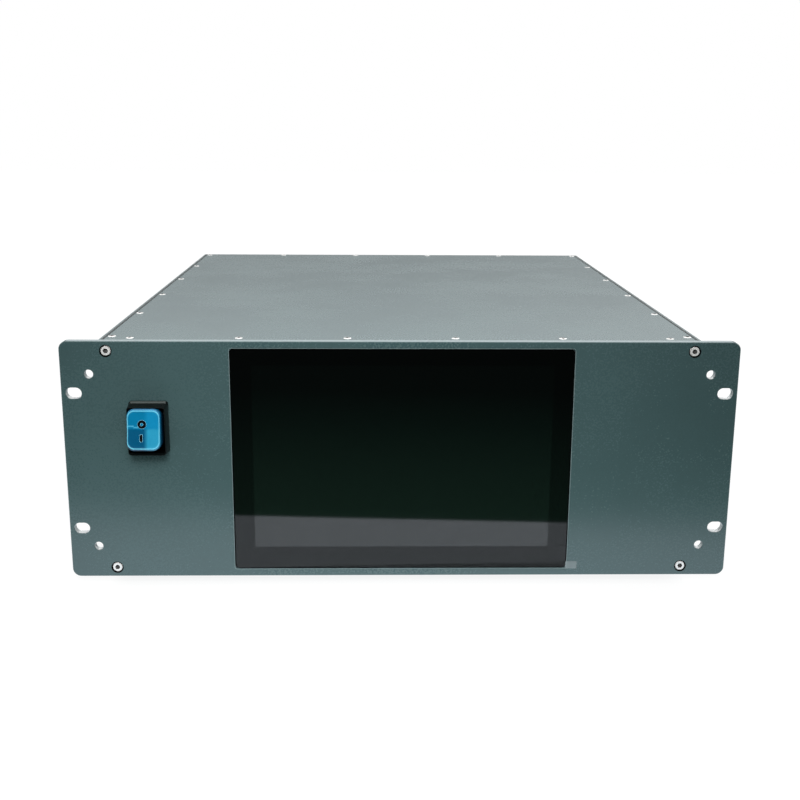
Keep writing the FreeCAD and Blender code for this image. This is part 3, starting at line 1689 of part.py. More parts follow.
extrude(
    lugs,
    sketch(
        lugs,
        "XZ",
        middle_box("lug_wide", "lug_thick", "0", "supply_high / 2 - 4"),
        middle_box("lug_wide", "lug_thick", "lug_apart - lug_wide", "supply_high / 2 - 4"),
    ),
    "lug_long",
)

# --------------------------------------------------------------------------
# Control board on spacers behind the display.
# --------------------------------------------------------------------------
spacers = body(
    "control_board_spacers",
    x="control_x - control_wide / 2 + 6",
    y="control_mid_y - control_long / 2 + 6",
    z="floor_z",
)
spacer = extrude(spacers, sketch(spacers, "XY", hexagon("spacer_flats")), "control_stand")
repeat(spacers, spacer, "X", "control_wide - 12", 2, "Y", "control_long - 12", 2)
board = body("control_board", x="control_x", y="control_mid_y", z="control_z")
extrude(
    board, sketch(board, "XY", middle_box("control_wide", "control_long")), "board_thick"
)
extrude(
    board,
    sketch(
        board,
        "XY",
        middle_box("chip_size", "chip_size", "-30", "6"),
        middle_box("chip_size", "chip_size", "24", "-8"),
        at="board_thick",
    ),
    "chip_high",
)
extrude(
    board,
    sketch(
        board,
        "XY",
        middle_box("plug_wide", "plug_long", "-50", "-control_long / 2 + plug_long"),
        middle_box("plug_wide", "plug_long", "50", "-control_long / 2 + plug_long"),
        middle_box("plug_wide", "plug_long", "0", "control_long / 2 - plug_long"),
        at="board_thick",
    ),
    "plug_high",
)

# --------------------------------------------------------------------------
# Every object must have recomputed, and every piece must be a sound solid.
# --------------------------------------------------------------------------
doc.recompute()
for thing in doc.Objects:
    if "Invalid" in thing.State or "Error" in thing.State:
        raise ValueError(f"{thing.Label} ({thing.Name}): {thing.State}")
os.makedirs("parts", exist_ok=True)
for piece in pieces:
    shape = piece.Shape
    if shape.isNull() or not shape.isValid() or not shape.Solids:
        raise ValueError(f"{piece.Label}: no sound solid")
    shape.exportStep(f"parts/{piece.Label}.step")
print(f"{len(pieces)} pieces")
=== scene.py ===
"""Looks of a rack-mount HF linear amplifier: finishes, fine pieces, stage and camera.

Sizes of pieces are in millimetres in the part's own frame (+X to the right of someone facing
the front panel, +Y towards the rear, +Z up, origin on the floor). They become metres where a
mesh or a mask is written. Texture scales, grain depths and lamps are in metres.
"""

import logging
import math
from dataclasses import dataclass, field
from enum import Enum
from functools import cache
from typing import Iterable, Optional, Sequence

import bmesh
import bpy
import numpy as np
from mathutils import Matrix, Vector


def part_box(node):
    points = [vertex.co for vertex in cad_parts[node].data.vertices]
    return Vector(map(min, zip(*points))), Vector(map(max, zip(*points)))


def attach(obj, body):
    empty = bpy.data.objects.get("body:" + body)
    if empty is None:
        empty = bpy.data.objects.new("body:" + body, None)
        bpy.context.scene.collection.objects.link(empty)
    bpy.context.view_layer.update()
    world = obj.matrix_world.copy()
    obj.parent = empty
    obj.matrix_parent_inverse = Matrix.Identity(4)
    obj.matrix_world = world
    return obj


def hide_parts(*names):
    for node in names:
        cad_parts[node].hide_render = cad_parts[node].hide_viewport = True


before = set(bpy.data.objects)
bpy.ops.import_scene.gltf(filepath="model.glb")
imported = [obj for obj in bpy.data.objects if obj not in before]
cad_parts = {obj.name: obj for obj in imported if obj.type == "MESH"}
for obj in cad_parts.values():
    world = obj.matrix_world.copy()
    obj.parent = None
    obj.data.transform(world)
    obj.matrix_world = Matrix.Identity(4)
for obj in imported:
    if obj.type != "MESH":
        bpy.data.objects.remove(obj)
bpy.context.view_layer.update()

LOG = logging.getLogger("amplifier")
MM = 0.001
FAR = 1000.0
FRONT_Y, INNER_Y = (corner.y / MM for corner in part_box("front_panel"))
REAR_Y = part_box("rear_panel")[1].y / MM
ROOF_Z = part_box("top_cover")[1].z / MM
BASE_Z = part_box("bottom_plate")[0].z / MM
MIDDLE_Z = (BASE_Z + ROOF_Z) / 2

Pair = tuple[float, float]
Triple = tuple[float, float, float]
Tone = Triple
Stops = Sequence[tuple[float, Tone]]
Array = np.ndarray


class Axis(Enum):
    """The axis that a turned piece is turned about, and the way it points."""

    REAR = (0.0, 1.0, 0.0)
    FRONT = (0.0, -1.0, 0.0)
    UP = (0.0, 0.0, 1.0)
    DOWN = (0.0, 0.0, -1.0)


class Recess(Enum):
    """The drive recess of a screw; the value is its depth as a share of the head's radius."""

    HEX = 0.7
    CROSS = 0.38


# ---------------------------------------------------------------------------
# Surfaces
# ---------------------------------------------------------------------------


@dataclass
class Surface:
    """Points and faces of one surface, in millimetres.

    Attributes:
        points: array of shape (n, 3).
        faces: array of shape (m, 4) with indexes into points.
        marks: one value per point for the "mark" attribute, or None.
    """

    points: Array
    faces: Array
    marks: Optional[Array] = None


def grid_surface(points: Array, marks: Optional[Array] = None) -> Surface:
    """Join a grid of points into quads, the last column to the first.

    Face (i, j) joins the points (i, j), (i, j + 1), (i + 1, j + 1) and (i + 1, j).

    Args:
        points: array of shape (rows, columns, 3).
        marks: array of shape (rows, columns), or None.

    Returns:
        The surface.
    """
    rows, columns = points.shape[:2]
    index = np.arange(rows * columns).reshape(rows, columns)
    after = np.roll(index, -1, axis=1)
    quads = np.stack([index[:-1], after[:-1], after[1:], index[1:]], axis=-1)
    flat = None if marks is None else marks.reshape(-1)
    return Surface(points.reshape(-1, 3), quads.reshape(-1, 4), flat)


def capped(rings: Array, both: bool = True) -> Array:
    """Close a stack of rings with a ring shrunk to its middle.

    Args:
        rings: array of shape (rings, points, 3).
        both: whether the last ring is closed too, or only the first.

    Returns:
        The stack with one or two more rings.
    """
    first, last = (np.broadcast_to(ring.mean(axis=0), ring.shape) for ring in rings[[0, -1]])
    return np.concatenate([first[None], rings, last[None]] if both else [first[None], rings])


def basis(axis: Axis) -> Array:
    """A 3 by 3 matrix whose third column is the axis, right-handed."""
    up = np.array(axis.value)
    side = np.array([1.0, 0.0, 0.0])
    return np.stack([side, np.cross(up, side), up], axis=1)


def circle(turns: int) -> Array:
    """Angles evenly spaced round a full turn."""
    return np.arange(turns) * 2 * math.pi / turns


def polygon_factor(turns: int, sides: int) -> Array:
    """Radius factors that turn a circle into a polygon with that circle inside it.

    factor(a) = 1 / cos(a folded into half a side either way)
    """
    fold = 2 * math.pi / sides
    return 1 / np.cos((circle(turns) % fold) - fold / 2)


def ring_surface(
    radii: Array,
    heights: Array,
    axis: Axis,
    centre: Sequence[float],
    marks: Optional[Array] = None,
) -> Surface:
    """A surface of rings about an axis.

    point(k, a) = centre + radii(k, a) * (cos a, sin a) + heights(k) * axis

    Args:
        radii: array of shape (rings, turns).
        heights: the place of each ring along the axis.
        axis: the axis of the rings.
        centre: where the axis starts.
        marks: array of the shape of radii, or None.

    Returns:
        The surface, closed round the axis.
    """
    angle = circle(radii.shape[1])
    tall = np.broadcast_to(heights[:, None], radii.shape)
    local = np.stack([radii * np.cos(angle), radii * np.sin(angle), tall], axis=-1)
    return grid_surface(local @ basis(axis).T + np.asarray(centre, float), marks)


def lathe(
    profile: Sequence[Pair],
    axis: Axis,
    centre: Sequence[float],
    turns: int = 48,
    hexagon: slice = slice(0),
) -> Surface:
    """A turned surface: each profile point goes round the axis.

    Args:
        profile: (radius, height along the axis) of each ring.
        axis: the axis of the turn.
        centre: where the axis starts.
        turns: points round a ring.
        hexagon: the rings that are hexagons about their circle.

    Returns:
        The surface, closed round the axis.
    """
    rings = np.asarray(profile, float)
    radii = np.repeat(rings[:, :1], turns, axis=1)
    radii[hexagon] *= polygon_factor(turns, 6)
    return ring_surface(radii, rings[:, 1], axis, centre)


def rounded_ring(
    half_wide: float, half_high: float, radius: float, arc: int = 7, side: int = 8
) -> Array:
    """Points of a rounded rectangle about the origin.

    Each corner is an arc about its own centre; each side is a straight blend from
    one arc's end to the next arc's start.

    Args:
        half_wide: half the width.
        half_high: half the height.
        radius: corner radius.
        arc: points in each corner.
        side: points inside each side.

    Returns:
        Array of shape (4 * (arc + side), 2).
    """
    bend = min(radius, half_wide, half_high)
    angle = np.linspace(0, math.pi / 2, arc)[None, :]
    begin = (np.arange(4) * math.pi / 2)[:, None]
    hand = np.array([[1, 1], [-1, 1], [-1, -1], [1, -1]], float)[:, None, :]
    middle = hand * np.array([half_wide - bend, half_high - bend])
    arcs = middle + bend * np.stack([np.cos(begin + angle), np.sin(begin + angle)], -1)
    share = np.linspace(0, 1, side + 2)[1:-1][None, :, None]
    follow = np.roll(arcs[:, :1], -1, axis=0)
    sides = arcs[:, -1:] * (1 - share) + follow * share
    return np.concatenate([arcs, sides], axis=1).reshape(-1, 2)


PlateRing = tuple[float, float, float, float]
PINPOINT = (0.01, 0.01, 0.005)


def front_rings(rings: Iterable[PlateRing], centre: Sequence[float]) -> Array:
    """Rounded rectangles stacked along Y: point = centre + (x, out, z) for each ring's (x, z).

    Args:
        rings: (half width, half height, corner radius, y offset) of each ring.
        centre: the point that the rings are about.

    Returns:
        Array of shape (rings, points, 3).
    """
    stack = []
    for half_wide, half_high, radius, out in rings:
        flat = rounded_ring(half_wide, half_high, radius)
        stack.append(np.stack([flat[:, 0], np.full(len(flat), out), flat[:, 1]], axis=-1))
    return np.stack(stack) + np.asarray(centre, float)


def block(rings: Sequence[PlateRing], centre: Sequence[float]) -> Surface:
    """Stacked rounded rectangles, closed to a point at both ends."""
    closed = [(*PINPOINT, rings[0][3]), *rings, (*PINPOINT, rings[-1][3])]
    return grid_surface(front_rings(closed, centre))


def corners(half_wide: float, half_high: float) -> list[Pair]:
    """The four corners of a rectangle about the origin."""
    return [(x * half_wide, z * half_high) for x in (-1, 1) for z in (-1, 1)]


@dataclass(frozen=True)
class Screw:
    """A pan-head or countersunk screw with a drive recess and a plain shank.

    Attributes:
        radius: head radius.
        rise: how far the head's top stands above its seat, or above its edge when sunk.
        shank: shank radius.
        length: shank length below the head.
        recess: the drive.
        sunk: whether the head is countersunk.
        hex_share: circle in the hexagon socket, as a share of the head's radius.
        cross_reach: length of a cross recess's arm, as such a share.
        cross_arm: half the width of that arm, as such a share.
    """

    radius: float
    rise: float
    shank: float
    length: float
    recess: Recess = Recess.CROSS
    sunk: bool = False
    hex_share: float = 0.46
    cross_reach: float = 0.72
    cross_arm: float = 0.28

    def outline(self, turns: int) -> Array:
        """Radius of the recess's outline at each angle.

        The cross is arm / sin(a folded to the nearest arm), held between the inner
        corner of two arms and the arms' reach.
        """
        if self.recess is Recess.HEX:
            return polygon_factor(turns, 6) * self.radius * self.hex_share
        arm = self.radius * self.cross_arm
        fold = (circle(turns) + math.pi / 4) % (math.pi / 2) - math.pi / 4
        reach = np.minimum(
            self.radius * self.cross_reach, arm / np.maximum(np.abs(np.sin(fold)), 1e-3)
        )
        return np.maximum(reach, arm * 1.42)

    def at(self, centre: Sequence[float], axis: Axis) -> Surface:
        """The screw at a place.

        The rings run from the recess's floor, up its walls, over the head, and down the
        shank. The recess is marked 1, the rest 0, so that a finish can paint shade into it.

        Args:
            centre: where the head's seat meets the axis (its edge when sunk).
            axis: the way the head's top faces.

        Returns:
            The closed surface.
        """
        turns = 48
        outline = self.outline(turns)
        radius, top, shank = self.radius, self.rise, self.shank
        floor = top - radius * self.recess.value
        edge = radius * (0.02 if self.sunk else 0.12)
        recess = [(0.0, floor), (outline * 0.8, floor), (outline, top - edge * 0.6)]
        if self.sunk:
            neck = shank - radius
            head = [(radius * 0.78, top * 0.72), (radius - edge, 0.0), (radius, -edge)]
        else:
            neck = 0.0
            head = [(radius - edge, top), (radius, top - edge), (radius, 0.0)]
        end = neck - self.length
        rings = [*recess, (outline * 1.04, top), *head, (shank, neck), (shank, end), (0.0, end)]
        radii = np.stack([np.broadcast_to(ring, turns) for ring, _ in rings])
        marks = np.zeros(radii.shape)
        marks[: len(recess)] = 1.0
        return ring_surface(radii, np.array([tall for _, tall in rings]), axis, centre, marks)


def threaded_profile(radius: float, pitch: float, start: float, end: float) -> list[Pair]:
    """Profile of rounded rings from start to end that stand for a thread.

    radius(h) = radius - depth * (1 - cos(2 pi h / pitch)) / 2, with half the pitch as depth
    """
    count = int(round((end - start) / pitch * 4))
    height = np.linspace(start, end, count + 1)
    sunk = 0.5 * pitch * (1 - np.cos(2 * math.pi * (height - start) / pitch)) / 2
    return list(zip(radius - sunk, height))


# ---------------------------------------------------------------------------
# Shader groups and finishes
# ---------------------------------------------------------------------------

FLOAT, VECTOR, COLOUR = "NodeSocketFloat", "NodeSocketVector", "NodeSocketColor"


def rgba(tone: Tone, gain: float = 1.0) -> tuple[float, float, float, float]:
    """A tone times a gain, with full alpha."""
    return (*(min(1.0, part * gain) for part in tone), 1.0)


class Wiring:
    """A node tree, with short ways to add nodes and join them."""

    def __init__(self, tree: bpy.types.NodeTree) -> None:
        """Keep the tree."""
        self.tree = tree

    def feed(self, node: bpy.types.Node, inputs: dict) -> None:
        """Fill a node's inputs.

        Args:
            node: the node.
            inputs: input name or number, to a plain value or to the socket that feeds it.
        """
        for name, value in inputs.items():
            if isinstance(value, bpy.types.NodeSocket):
                self.tree.links.new(value, node.inputs[name])
            else:
                node.inputs[name].default_value = value

    def put(self, kind: str, inputs: Optional[dict] = None, **settings: object) -> bpy.types.Node:
        """Add a node.

        Args:
            kind: the node's type.
            inputs: what goes into it, as for feed.
            **settings: its own properties, set first.

        Returns:
            The node.
        """
        node = self.tree.nodes.new(kind)
        for name, value in settings.items():
            setattr(node, name, value)
        self.feed(node, inputs or {})
        return node

    def math(self, operation: str, *terms: object, clamp: bool = False) -> bpy.types.NodeSocket:
        """The result of a math node on its terms."""
        node = self.put(
            "ShaderNodeMath", dict(enumerate(terms)), operation=operation, use_clamp=clamp
        )
        return node.outputs[0]

    def mix(
        self, first: object, second: object, factor: object, kind: str = "RGBA",
        blend: str = "MIX",
    ) -> bpy.types.NodeSocket:
        """The blend of two colours or values, from the first at 0 to the second at 1."""
        node = self.put("ShaderNodeMix", data_type=kind, blend_type=blend)
        self.feed(node, {"A": first, "B": second, "Factor": factor})
        return node.outputs["Result"]

    def span(
        self, value: bpy.types.NodeSocket, before: Pair, after: Pair, **settings: object
    ) -> bpy.types.NodeSocket:
        """A value moved from one range to another, and held inside it."""
        names = ("From Min", "From Max", "To Min", "To Max")
        inputs = {"Value": value, **dict(zip(names, (*before, *after)))}
        return self.put("ShaderNodeMapRange", inputs, **settings).outputs["Result"]

    def ramp(self, value: bpy.types.NodeSocket, stops: Stops) -> bpy.types.NodeSocket:
        """The colour that a ramp gives a value.

        Args:
            value: what runs along the ramp.
            stops: position and colour of each stop, in rising order.

        Returns:
            The colour.
        """
        node = self.put("ShaderNodeValToRGB", {"Fac": value})
        band = node.color_ramp.elements
        for holder, (place, tone) in zip((band[0], band[1]), (stops[0], stops[-1])):
            holder.position = place
            holder.color = (*tone, 1.0)
        for place, tone in stops[1:-1]:
            band.new(place).color = (*tone, 1.0)
        return node.outputs["Color"]


class Kit:
    """Shader node groups that several finishes share, each built once."""

    @staticmethod
    def group(name: str, inputs: dict[str, str], outputs: dict[str, str]) -> tuple:
        """Start a group with named sockets.

        Args:
            name: the group's name.
            inputs: socket name to socket type.
            outputs: socket name to socket type.

        Returns:
            Its wiring, the sockets that bring its inputs, and its output node.
        """
        tree = bpy.data.node_groups.new(name, "ShaderNodeTree")
        for text, kind in inputs.items():
            tree.interface.new_socket(text, in_out="INPUT", socket_type=kind)
        for text, kind in outputs.items():
            tree.interface.new_socket(text, in_out="OUTPUT", socket_type=kind)
        start, end = tree.nodes.new("NodeGroupInput"), tree.nodes.new("NodeGroupOutput")
        return Wiring(tree), start.outputs, end

    @staticmethod
    @cache
    def grain() -> bpy.types.NodeTree:
        """Fine even grain: two octaves of noise as a mask and as a bumped normal."""
        wiring, given, end = Kit.group(
            "fine_grain",
            {"Vector": VECTOR, "Scale": FLOAT, "Depth": FLOAT, "Strength": FLOAT},
            {"Mask": FLOAT, "Normal": VECTOR},
        )
        noise = wiring.put(
            "ShaderNodeTexNoise",
            {"Vector": given["Vector"], "Scale": given["Scale"], "Detail": 2.0, "Roughness": 0.55},
        ).outputs["Fac"]
        bump = wiring.put(
            "ShaderNodeBump",
            {"Height": noise, "Distance": given["Depth"], "Strength": given["Strength"]},
        )
        wiring.feed(end, {"Mask": noise, "Normal": bump.outputs["Normal"]})
        return wiring.tree

    @staticmethod
    @cache
    def mottle() -> bpy.types.NodeTree:
        """Slow change between two colours, with a fine speckle on top."""
        wiring, given, end = Kit.group(
            "mottle",
            {
                "Vector": VECTOR, "Scale": FLOAT, "Speckle Scale": FLOAT, "Dark": COLOUR,
                "Light": COLOUR,
            },
            {"Color": COLOUR, "Mask": FLOAT},
        )
        slow, fast = (
            wiring.put(
                "ShaderNodeTexNoise",
                {"Vector": given["Vector"], "Scale": given[scale], "Detail": detail},
            ).outputs["Fac"]
            for scale, detail in (("Scale", 3.0), ("Speckle Scale", 1.0))
        )
        mask = wiring.math("MULTIPLY_ADD", fast, 0.45, wiring.math("MULTIPLY", slow, 0.55))
        colour = wiring.mix(given["Dark"], given["Light"], mask)
        wiring.feed(end, {"Color": colour, "Mask": mask})
        return wiring.tree

    @staticmethod
    @cache
    def lines() -> bpy.types.NodeTree:
        """Drawn or brushed lines: noise stretched along one axis."""
        wiring, given, end = Kit.group(
            "drawn_lines",
            {"Vector": VECTOR, "Stretch": VECTOR, "Depth": FLOAT},
            {"Mask": FLOAT, "Normal": VECTOR},
        )
        long = wiring.put(
            "ShaderNodeVectorMath",
            {0: given["Vector"], 1: given["Stretch"]},
            operation="MULTIPLY",
        )
        noise = wiring.put(
            "ShaderNodeTexNoise", {"Vector": long.outputs["Vector"], "Scale": 1.0, "Detail": 4.0}
        ).outputs["Fac"]
        bump = wiring.put(
            "ShaderNodeBump", {"Height": noise, "Distance": given["Depth"], "Strength": 0.35}
        )
        wiring.feed(end, {"Mask": noise, "Normal": bump.outputs["Normal"]})
        return wiring.tree

    @staticmethod
    @cache
    def window() -> bpy.types.NodeTree:
        """Mask of a soft-edged rectangle in X and Z, 1 inside and 0 outside.

        mask = product, over the four edges, of (distance inside the edge / soft) held
        between 0 and 1
        """
        edges = ("Low X", "High X", "Low Z", "High Z", "Soft")
        wiring, given, end = Kit.group(
            "rectangle_mask", {"Vector": VECTOR, **dict.fromkeys(edges, FLOAT)}, {"Mask": FLOAT}
        )
        split = wiring.put("ShaderNodeSeparateXYZ", {0: given["Vector"]})
        parts = []
        for axis in "XZ":
            place = split.outputs[axis]
            for terms in ((place, given[f"Low {axis}"]), (given[f"High {axis}"], place)):
                away = wiring.math("SUBTRACT", *terms)
                parts.append(wiring.math("DIVIDE", away, given["Soft"], clamp=True))
        mask = parts[0]
        for part in parts[1:]:
            mask = wiring.math("MULTIPLY", mask, part)
        wiring.feed(end, {"Mask": mask})
        return wiring.tree


class Sheet(Wiring):
    """One material: a Principled shader, and the nodes that feed it."""

    def __init__(self, name: str) -> None:
        """Start a material that reads the object's own coordinates."""
        self.material = bpy.data.materials.new(name)
        self.material.use_nodes = True
        super().__init__(self.material.node_tree)
        self.tree.nodes.clear()
        self.shader = self.put("ShaderNodeBsdfPrincipled")
        self.put("ShaderNodeOutputMaterial", {"Surface": self.shader.outputs[0]})
        self.place = self.put("ShaderNodeTexCoord").outputs["Object"]

    def use(self, tree: bpy.types.NodeTree, **values: object) -> bpy.types.bpy_prop_collection:
        """Add a group that reads the object's own coordinates.

        Args:
            tree: the group.
            **values: socket values; an underscore stands for a space.

        Returns:
            The group's outputs.
        """
        inputs = {name.replace("_", " "): value for name, value in values.items()}
        inputs["Vector"] = self.place
        return self.put("ShaderNodeGroup", inputs, node_tree=tree).outputs

    def mottled(
        self, tone: Tone, gains: Pair, scale: float, speckle: float
    ) -> bpy.types.bpy_prop_collection:
        """A mottle of a tone between its darker and its lighter gain."""
        dark, light = (rgba(tone, gain) for gain in gains)
        return self.use(Kit.mottle(), Scale=scale, Speckle_Scale=speckle, Dark=dark, Light=light)

    def grained(self, scale: float, depth: float, strength: float) -> bpy.types.bpy_prop_collection:
        """Fine grain with its bump's depth and strength."""
        return self.use(Kit.grain(), Scale=scale, Depth=depth, Strength=strength)

    def window(self, x: Pair, z: Pair, soft: float) -> bpy.types.NodeSocket:
        """Mask of a soft-edged rectangle, its edges and softness in millimetres."""
        names = ("Low_X", "High_X", "Low_Z", "High_Z", "Soft")
        sizes = (size * MM for size in (*x, *z, soft))
        return self.use(Kit.window(), **dict(zip(names, sizes)))["Mask"]

    def spread(self, mask: bpy.types.NodeSocket, low: float, high: float) -> bpy.types.NodeSocket:
        """Spread a noise's middle range between two values."""
        return self.span(mask, (0.3, 0.7), (low, high))

    def done(self, inputs: dict) -> bpy.types.Material:
        """Feed the shader and give the material."""
        self.feed(self.shader, inputs)
        return self.material


@dataclass(frozen=True)
class CoatFinish:
    """Satin powder coat: fine orange peel, slow mottle and slightly uneven gloss.

    Above the rim height, and nearer than the rim's half width to the middle, the coat
    has the rim's tone: a painted highlight along the front panel's top edge, and painted
    shade on the side profiles' step beside the lid. Between the two depths of bore, the
    walls of holes and slots, it has the bore's tone: painted light.
    """

    name: str
    tone: Tone
    painted_rim_z: float
    painted_rim: Tone
    painted_rim_x: float = 500.0
    painted_rim_rough: float = 0.3
    # Bore tone: painted light on the walls of holes and slots.
    bore_light: Tone = (0.62, 0.64, 0.64)
    bore_depth: Optional[Pair] = None
    bore_x: float = 240.6
    bore_low: float = 14.0
    bore_under_rim: float = 6.0
    rough: float = 0.26
    swing: float = 0.26
    depth: float = 0.00003
    grain: float = 780.0

    def bore_light_mask(self, sheet: Sheet) -> bpy.types.NodeSocket:
        """Where the painted light goes: 1 between the two depths and inside the plate's outer
        edges, 0 elsewhere.
        """
        near, far = self.bore_depth
        away = sheet.put("ShaderNodeSeparateXYZ", {0: sheet.place}).outputs["Y"]
        inside = sheet.span(away, (near * MM, (near + 0.2) * MM), (0.0, 1.0))
        depth = sheet.math("MULTIPLY", inside, sheet.math("LESS_THAN", away, far * MM))
        high = self.painted_rim_z - self.bore_under_rim
        field_mask = sheet.window((-self.bore_x, self.bore_x), (self.bore_low, high), 0.1)
        return sheet.math("MULTIPLY", depth, field_mask)

    def build(self) -> bpy.types.Material:
        """Make the material."""
        sheet = Sheet(self.name)
        mottle = sheet.mottled(self.tone, (1 - self.swing, 1 + self.swing), 14.0, self.grain)
        grain = sheet.grained(self.grain * 1.5, self.depth, 0.6)
        # Rim tone along the top edge: a painted highlight on the panel, painted shade on the side
        # profiles.
        edge = sheet.window((-self.painted_rim_x, self.painted_rim_x), (self.painted_rim_z, FAR), 0.08)
        colour = sheet.mix(mottle["Color"], rgba(self.painted_rim), edge)
        # Painted light on the walls of holes and slots.
        if self.bore_depth:
            colour = sheet.mix(colour, rgba(self.bore_light), self.bore_light_mask(sheet))
        plain = sheet.spread(mottle["Mask"], self.rough - 0.03, self.rough + 0.04)
        gloss = sheet.mix(plain, self.painted_rim_rough, edge, "FLOAT")
        return sheet.done(
            {
                "Base Color": colour, "Normal": grain["Normal"], "Roughness": gloss,
                "Specular IOR Level": 0.75,
            }
        )


@dataclass(frozen=True)
class MetalFinish:
    """Bare or plated metal with drawn lines along one axis, with painted shade in marked recesses.
    """

    name: str
    tone: Tone
    rough: float = 0.3
    stretch: Triple = (40.0, 900.0, 900.0)
    depth: float = 0.00001
    metallic: float = 1.0
    recess: float = 1.0

    def build(self) -> bpy.types.Material:
        """Make the material."""
        sheet = Sheet(self.name)
        lines = sheet.use(Kit.lines(), Stretch=self.stretch, Depth=self.depth)
        colour = sheet.mottled(self.tone, (0.88, 1.06), 60.0, 1500.0)["Color"]
        # Painted shade in the marked drive recesses: the tone times recess.
        if self.recess < 1.0:
            mark = sheet.put("ShaderNodeAttribute", attribute_name="mark").outputs["Fac"]
            colour = sheet.mix(colour, rgba(self.tone, self.recess), mark)
        gloss = sheet.spread(lines["Mask"], self.rough * 0.75, self.rough * 1.3)
        return sheet.done(
            {
                "Base Color": colour, "Normal": lines["Normal"], "Roughness": gloss,
                "Metallic": self.metallic,
            }
        )


@dataclass(frozen=True)
class MouldedFinish:
    """Moulded plastic or rubber: spark-eroded grain and a faint mottle."""

    name: str
    tone: Tone
    rough: float = 0.45
    grain: float = 1400.0
    depth: float = 0.00003
    specular: float = 0.5

    def build(self) -> bpy.types.Material:
        """Make the material."""
        sheet = Sheet(self.name)
        mottle = sheet.mottled(self.tone, (0.85, 1.15), 35.0, self.grain)
        grain = sheet.grained(self.grain, self.depth, 0.7)
        gloss = sheet.spread(grain["Mask"], self.rough - 0.05, self.rough + 0.08)
        return sheet.done(
            {
                "Base Color": mottle["Color"], "Normal": grain["Normal"], "Roughness": gloss,
                "Specular IOR Level": self.specular,
            }
        )


@dataclass(frozen=True)
class BoardFinish:
    """Circuit board: solder mask over a pattern of copper tracks."""

    name: str
    mask: Tone = (0.01, 0.07, 0.03)
    track: Tone = (0.03, 0.16, 0.06)

    def build(self) -> bpy.types.Material:
        """Make the material."""
        sheet = Sheet(self.name)
        tracks = sheet.put(
            "ShaderNodeTexBrick",
            {
                "Vector": sheet.place, "Scale": 90.0, "Mortar Size": 0.16,
                "Color1": rgba(self.mask), "Color2": rgba(self.mask, 0.8),
                "Mortar": rgba(self.track),
            },
            offset=0.5, squash=0.6,
        )
        grain = sheet.grained(500.0, 0.00002, 0.5)
        return sheet.done(
            {
                "Base Color": tracks.outputs["Color"], "Normal": grain["Normal"],
                "Roughness": sheet.spread(grain["Mask"], 0.25, 0.4),
            }
        )


@dataclass(frozen=True)
class ScreenFinish:
    """Black-edged display glass: the lit area behind it adds a second reflection."""

    name: str
    area_x: Pair = (-107.0, 109.0)
    area_z: Pair = (30.2, 167.5)
    edge: Tone = (0.0006, 0.0008, 0.0007)
    area: Tone = (0.0008, 0.0012, 0.0010)

    def build(self) -> bpy.types.Material:
        """Make the material."""
        sheet = Sheet(self.name)
        mask = sheet.window(self.area_x, self.area_z, 0.6)
        smear = sheet.grained(9.0, 0.00002, 0.15)
        return sheet.done(
            {
                "Base Color": sheet.mix(rgba(self.edge), rgba(self.area), mask),
                "Coat Weight": mask, "Coat Roughness": 0.04, "Coat IOR": 1.5, "IOR": 1.52,
                "Roughness": sheet.spread(smear["Mask"], 0.015, 0.05),
            }
        )


@dataclass(frozen=True)
class FilmFinish:
    """Clear protective film: unseen on the glass, pale and milky on its pull tab."""

    name: str
    tab_x: Pair = (122.4, 131.3)
    tab_z: Pair = (12.4, 50.0)
    tone: Tone = (0.36, 0.43, 0.44)
    alpha: Pair = (0.002, 0.5)

    def build(self) -> bpy.types.Material:
        """Make the material."""
        sheet = Sheet(self.name)
        tab = sheet.window(self.tab_x, self.tab_z, 0.5)
        crease = sheet.grained(120.0, 0.0001, 0.4)
        return sheet.done(
            {
                "Base Color": rgba(self.tone), "Roughness": 0.2, "Normal": crease["Normal"],
                "Alpha": sheet.span(tab, (0.0, 1.0), self.alpha),
            }
        )


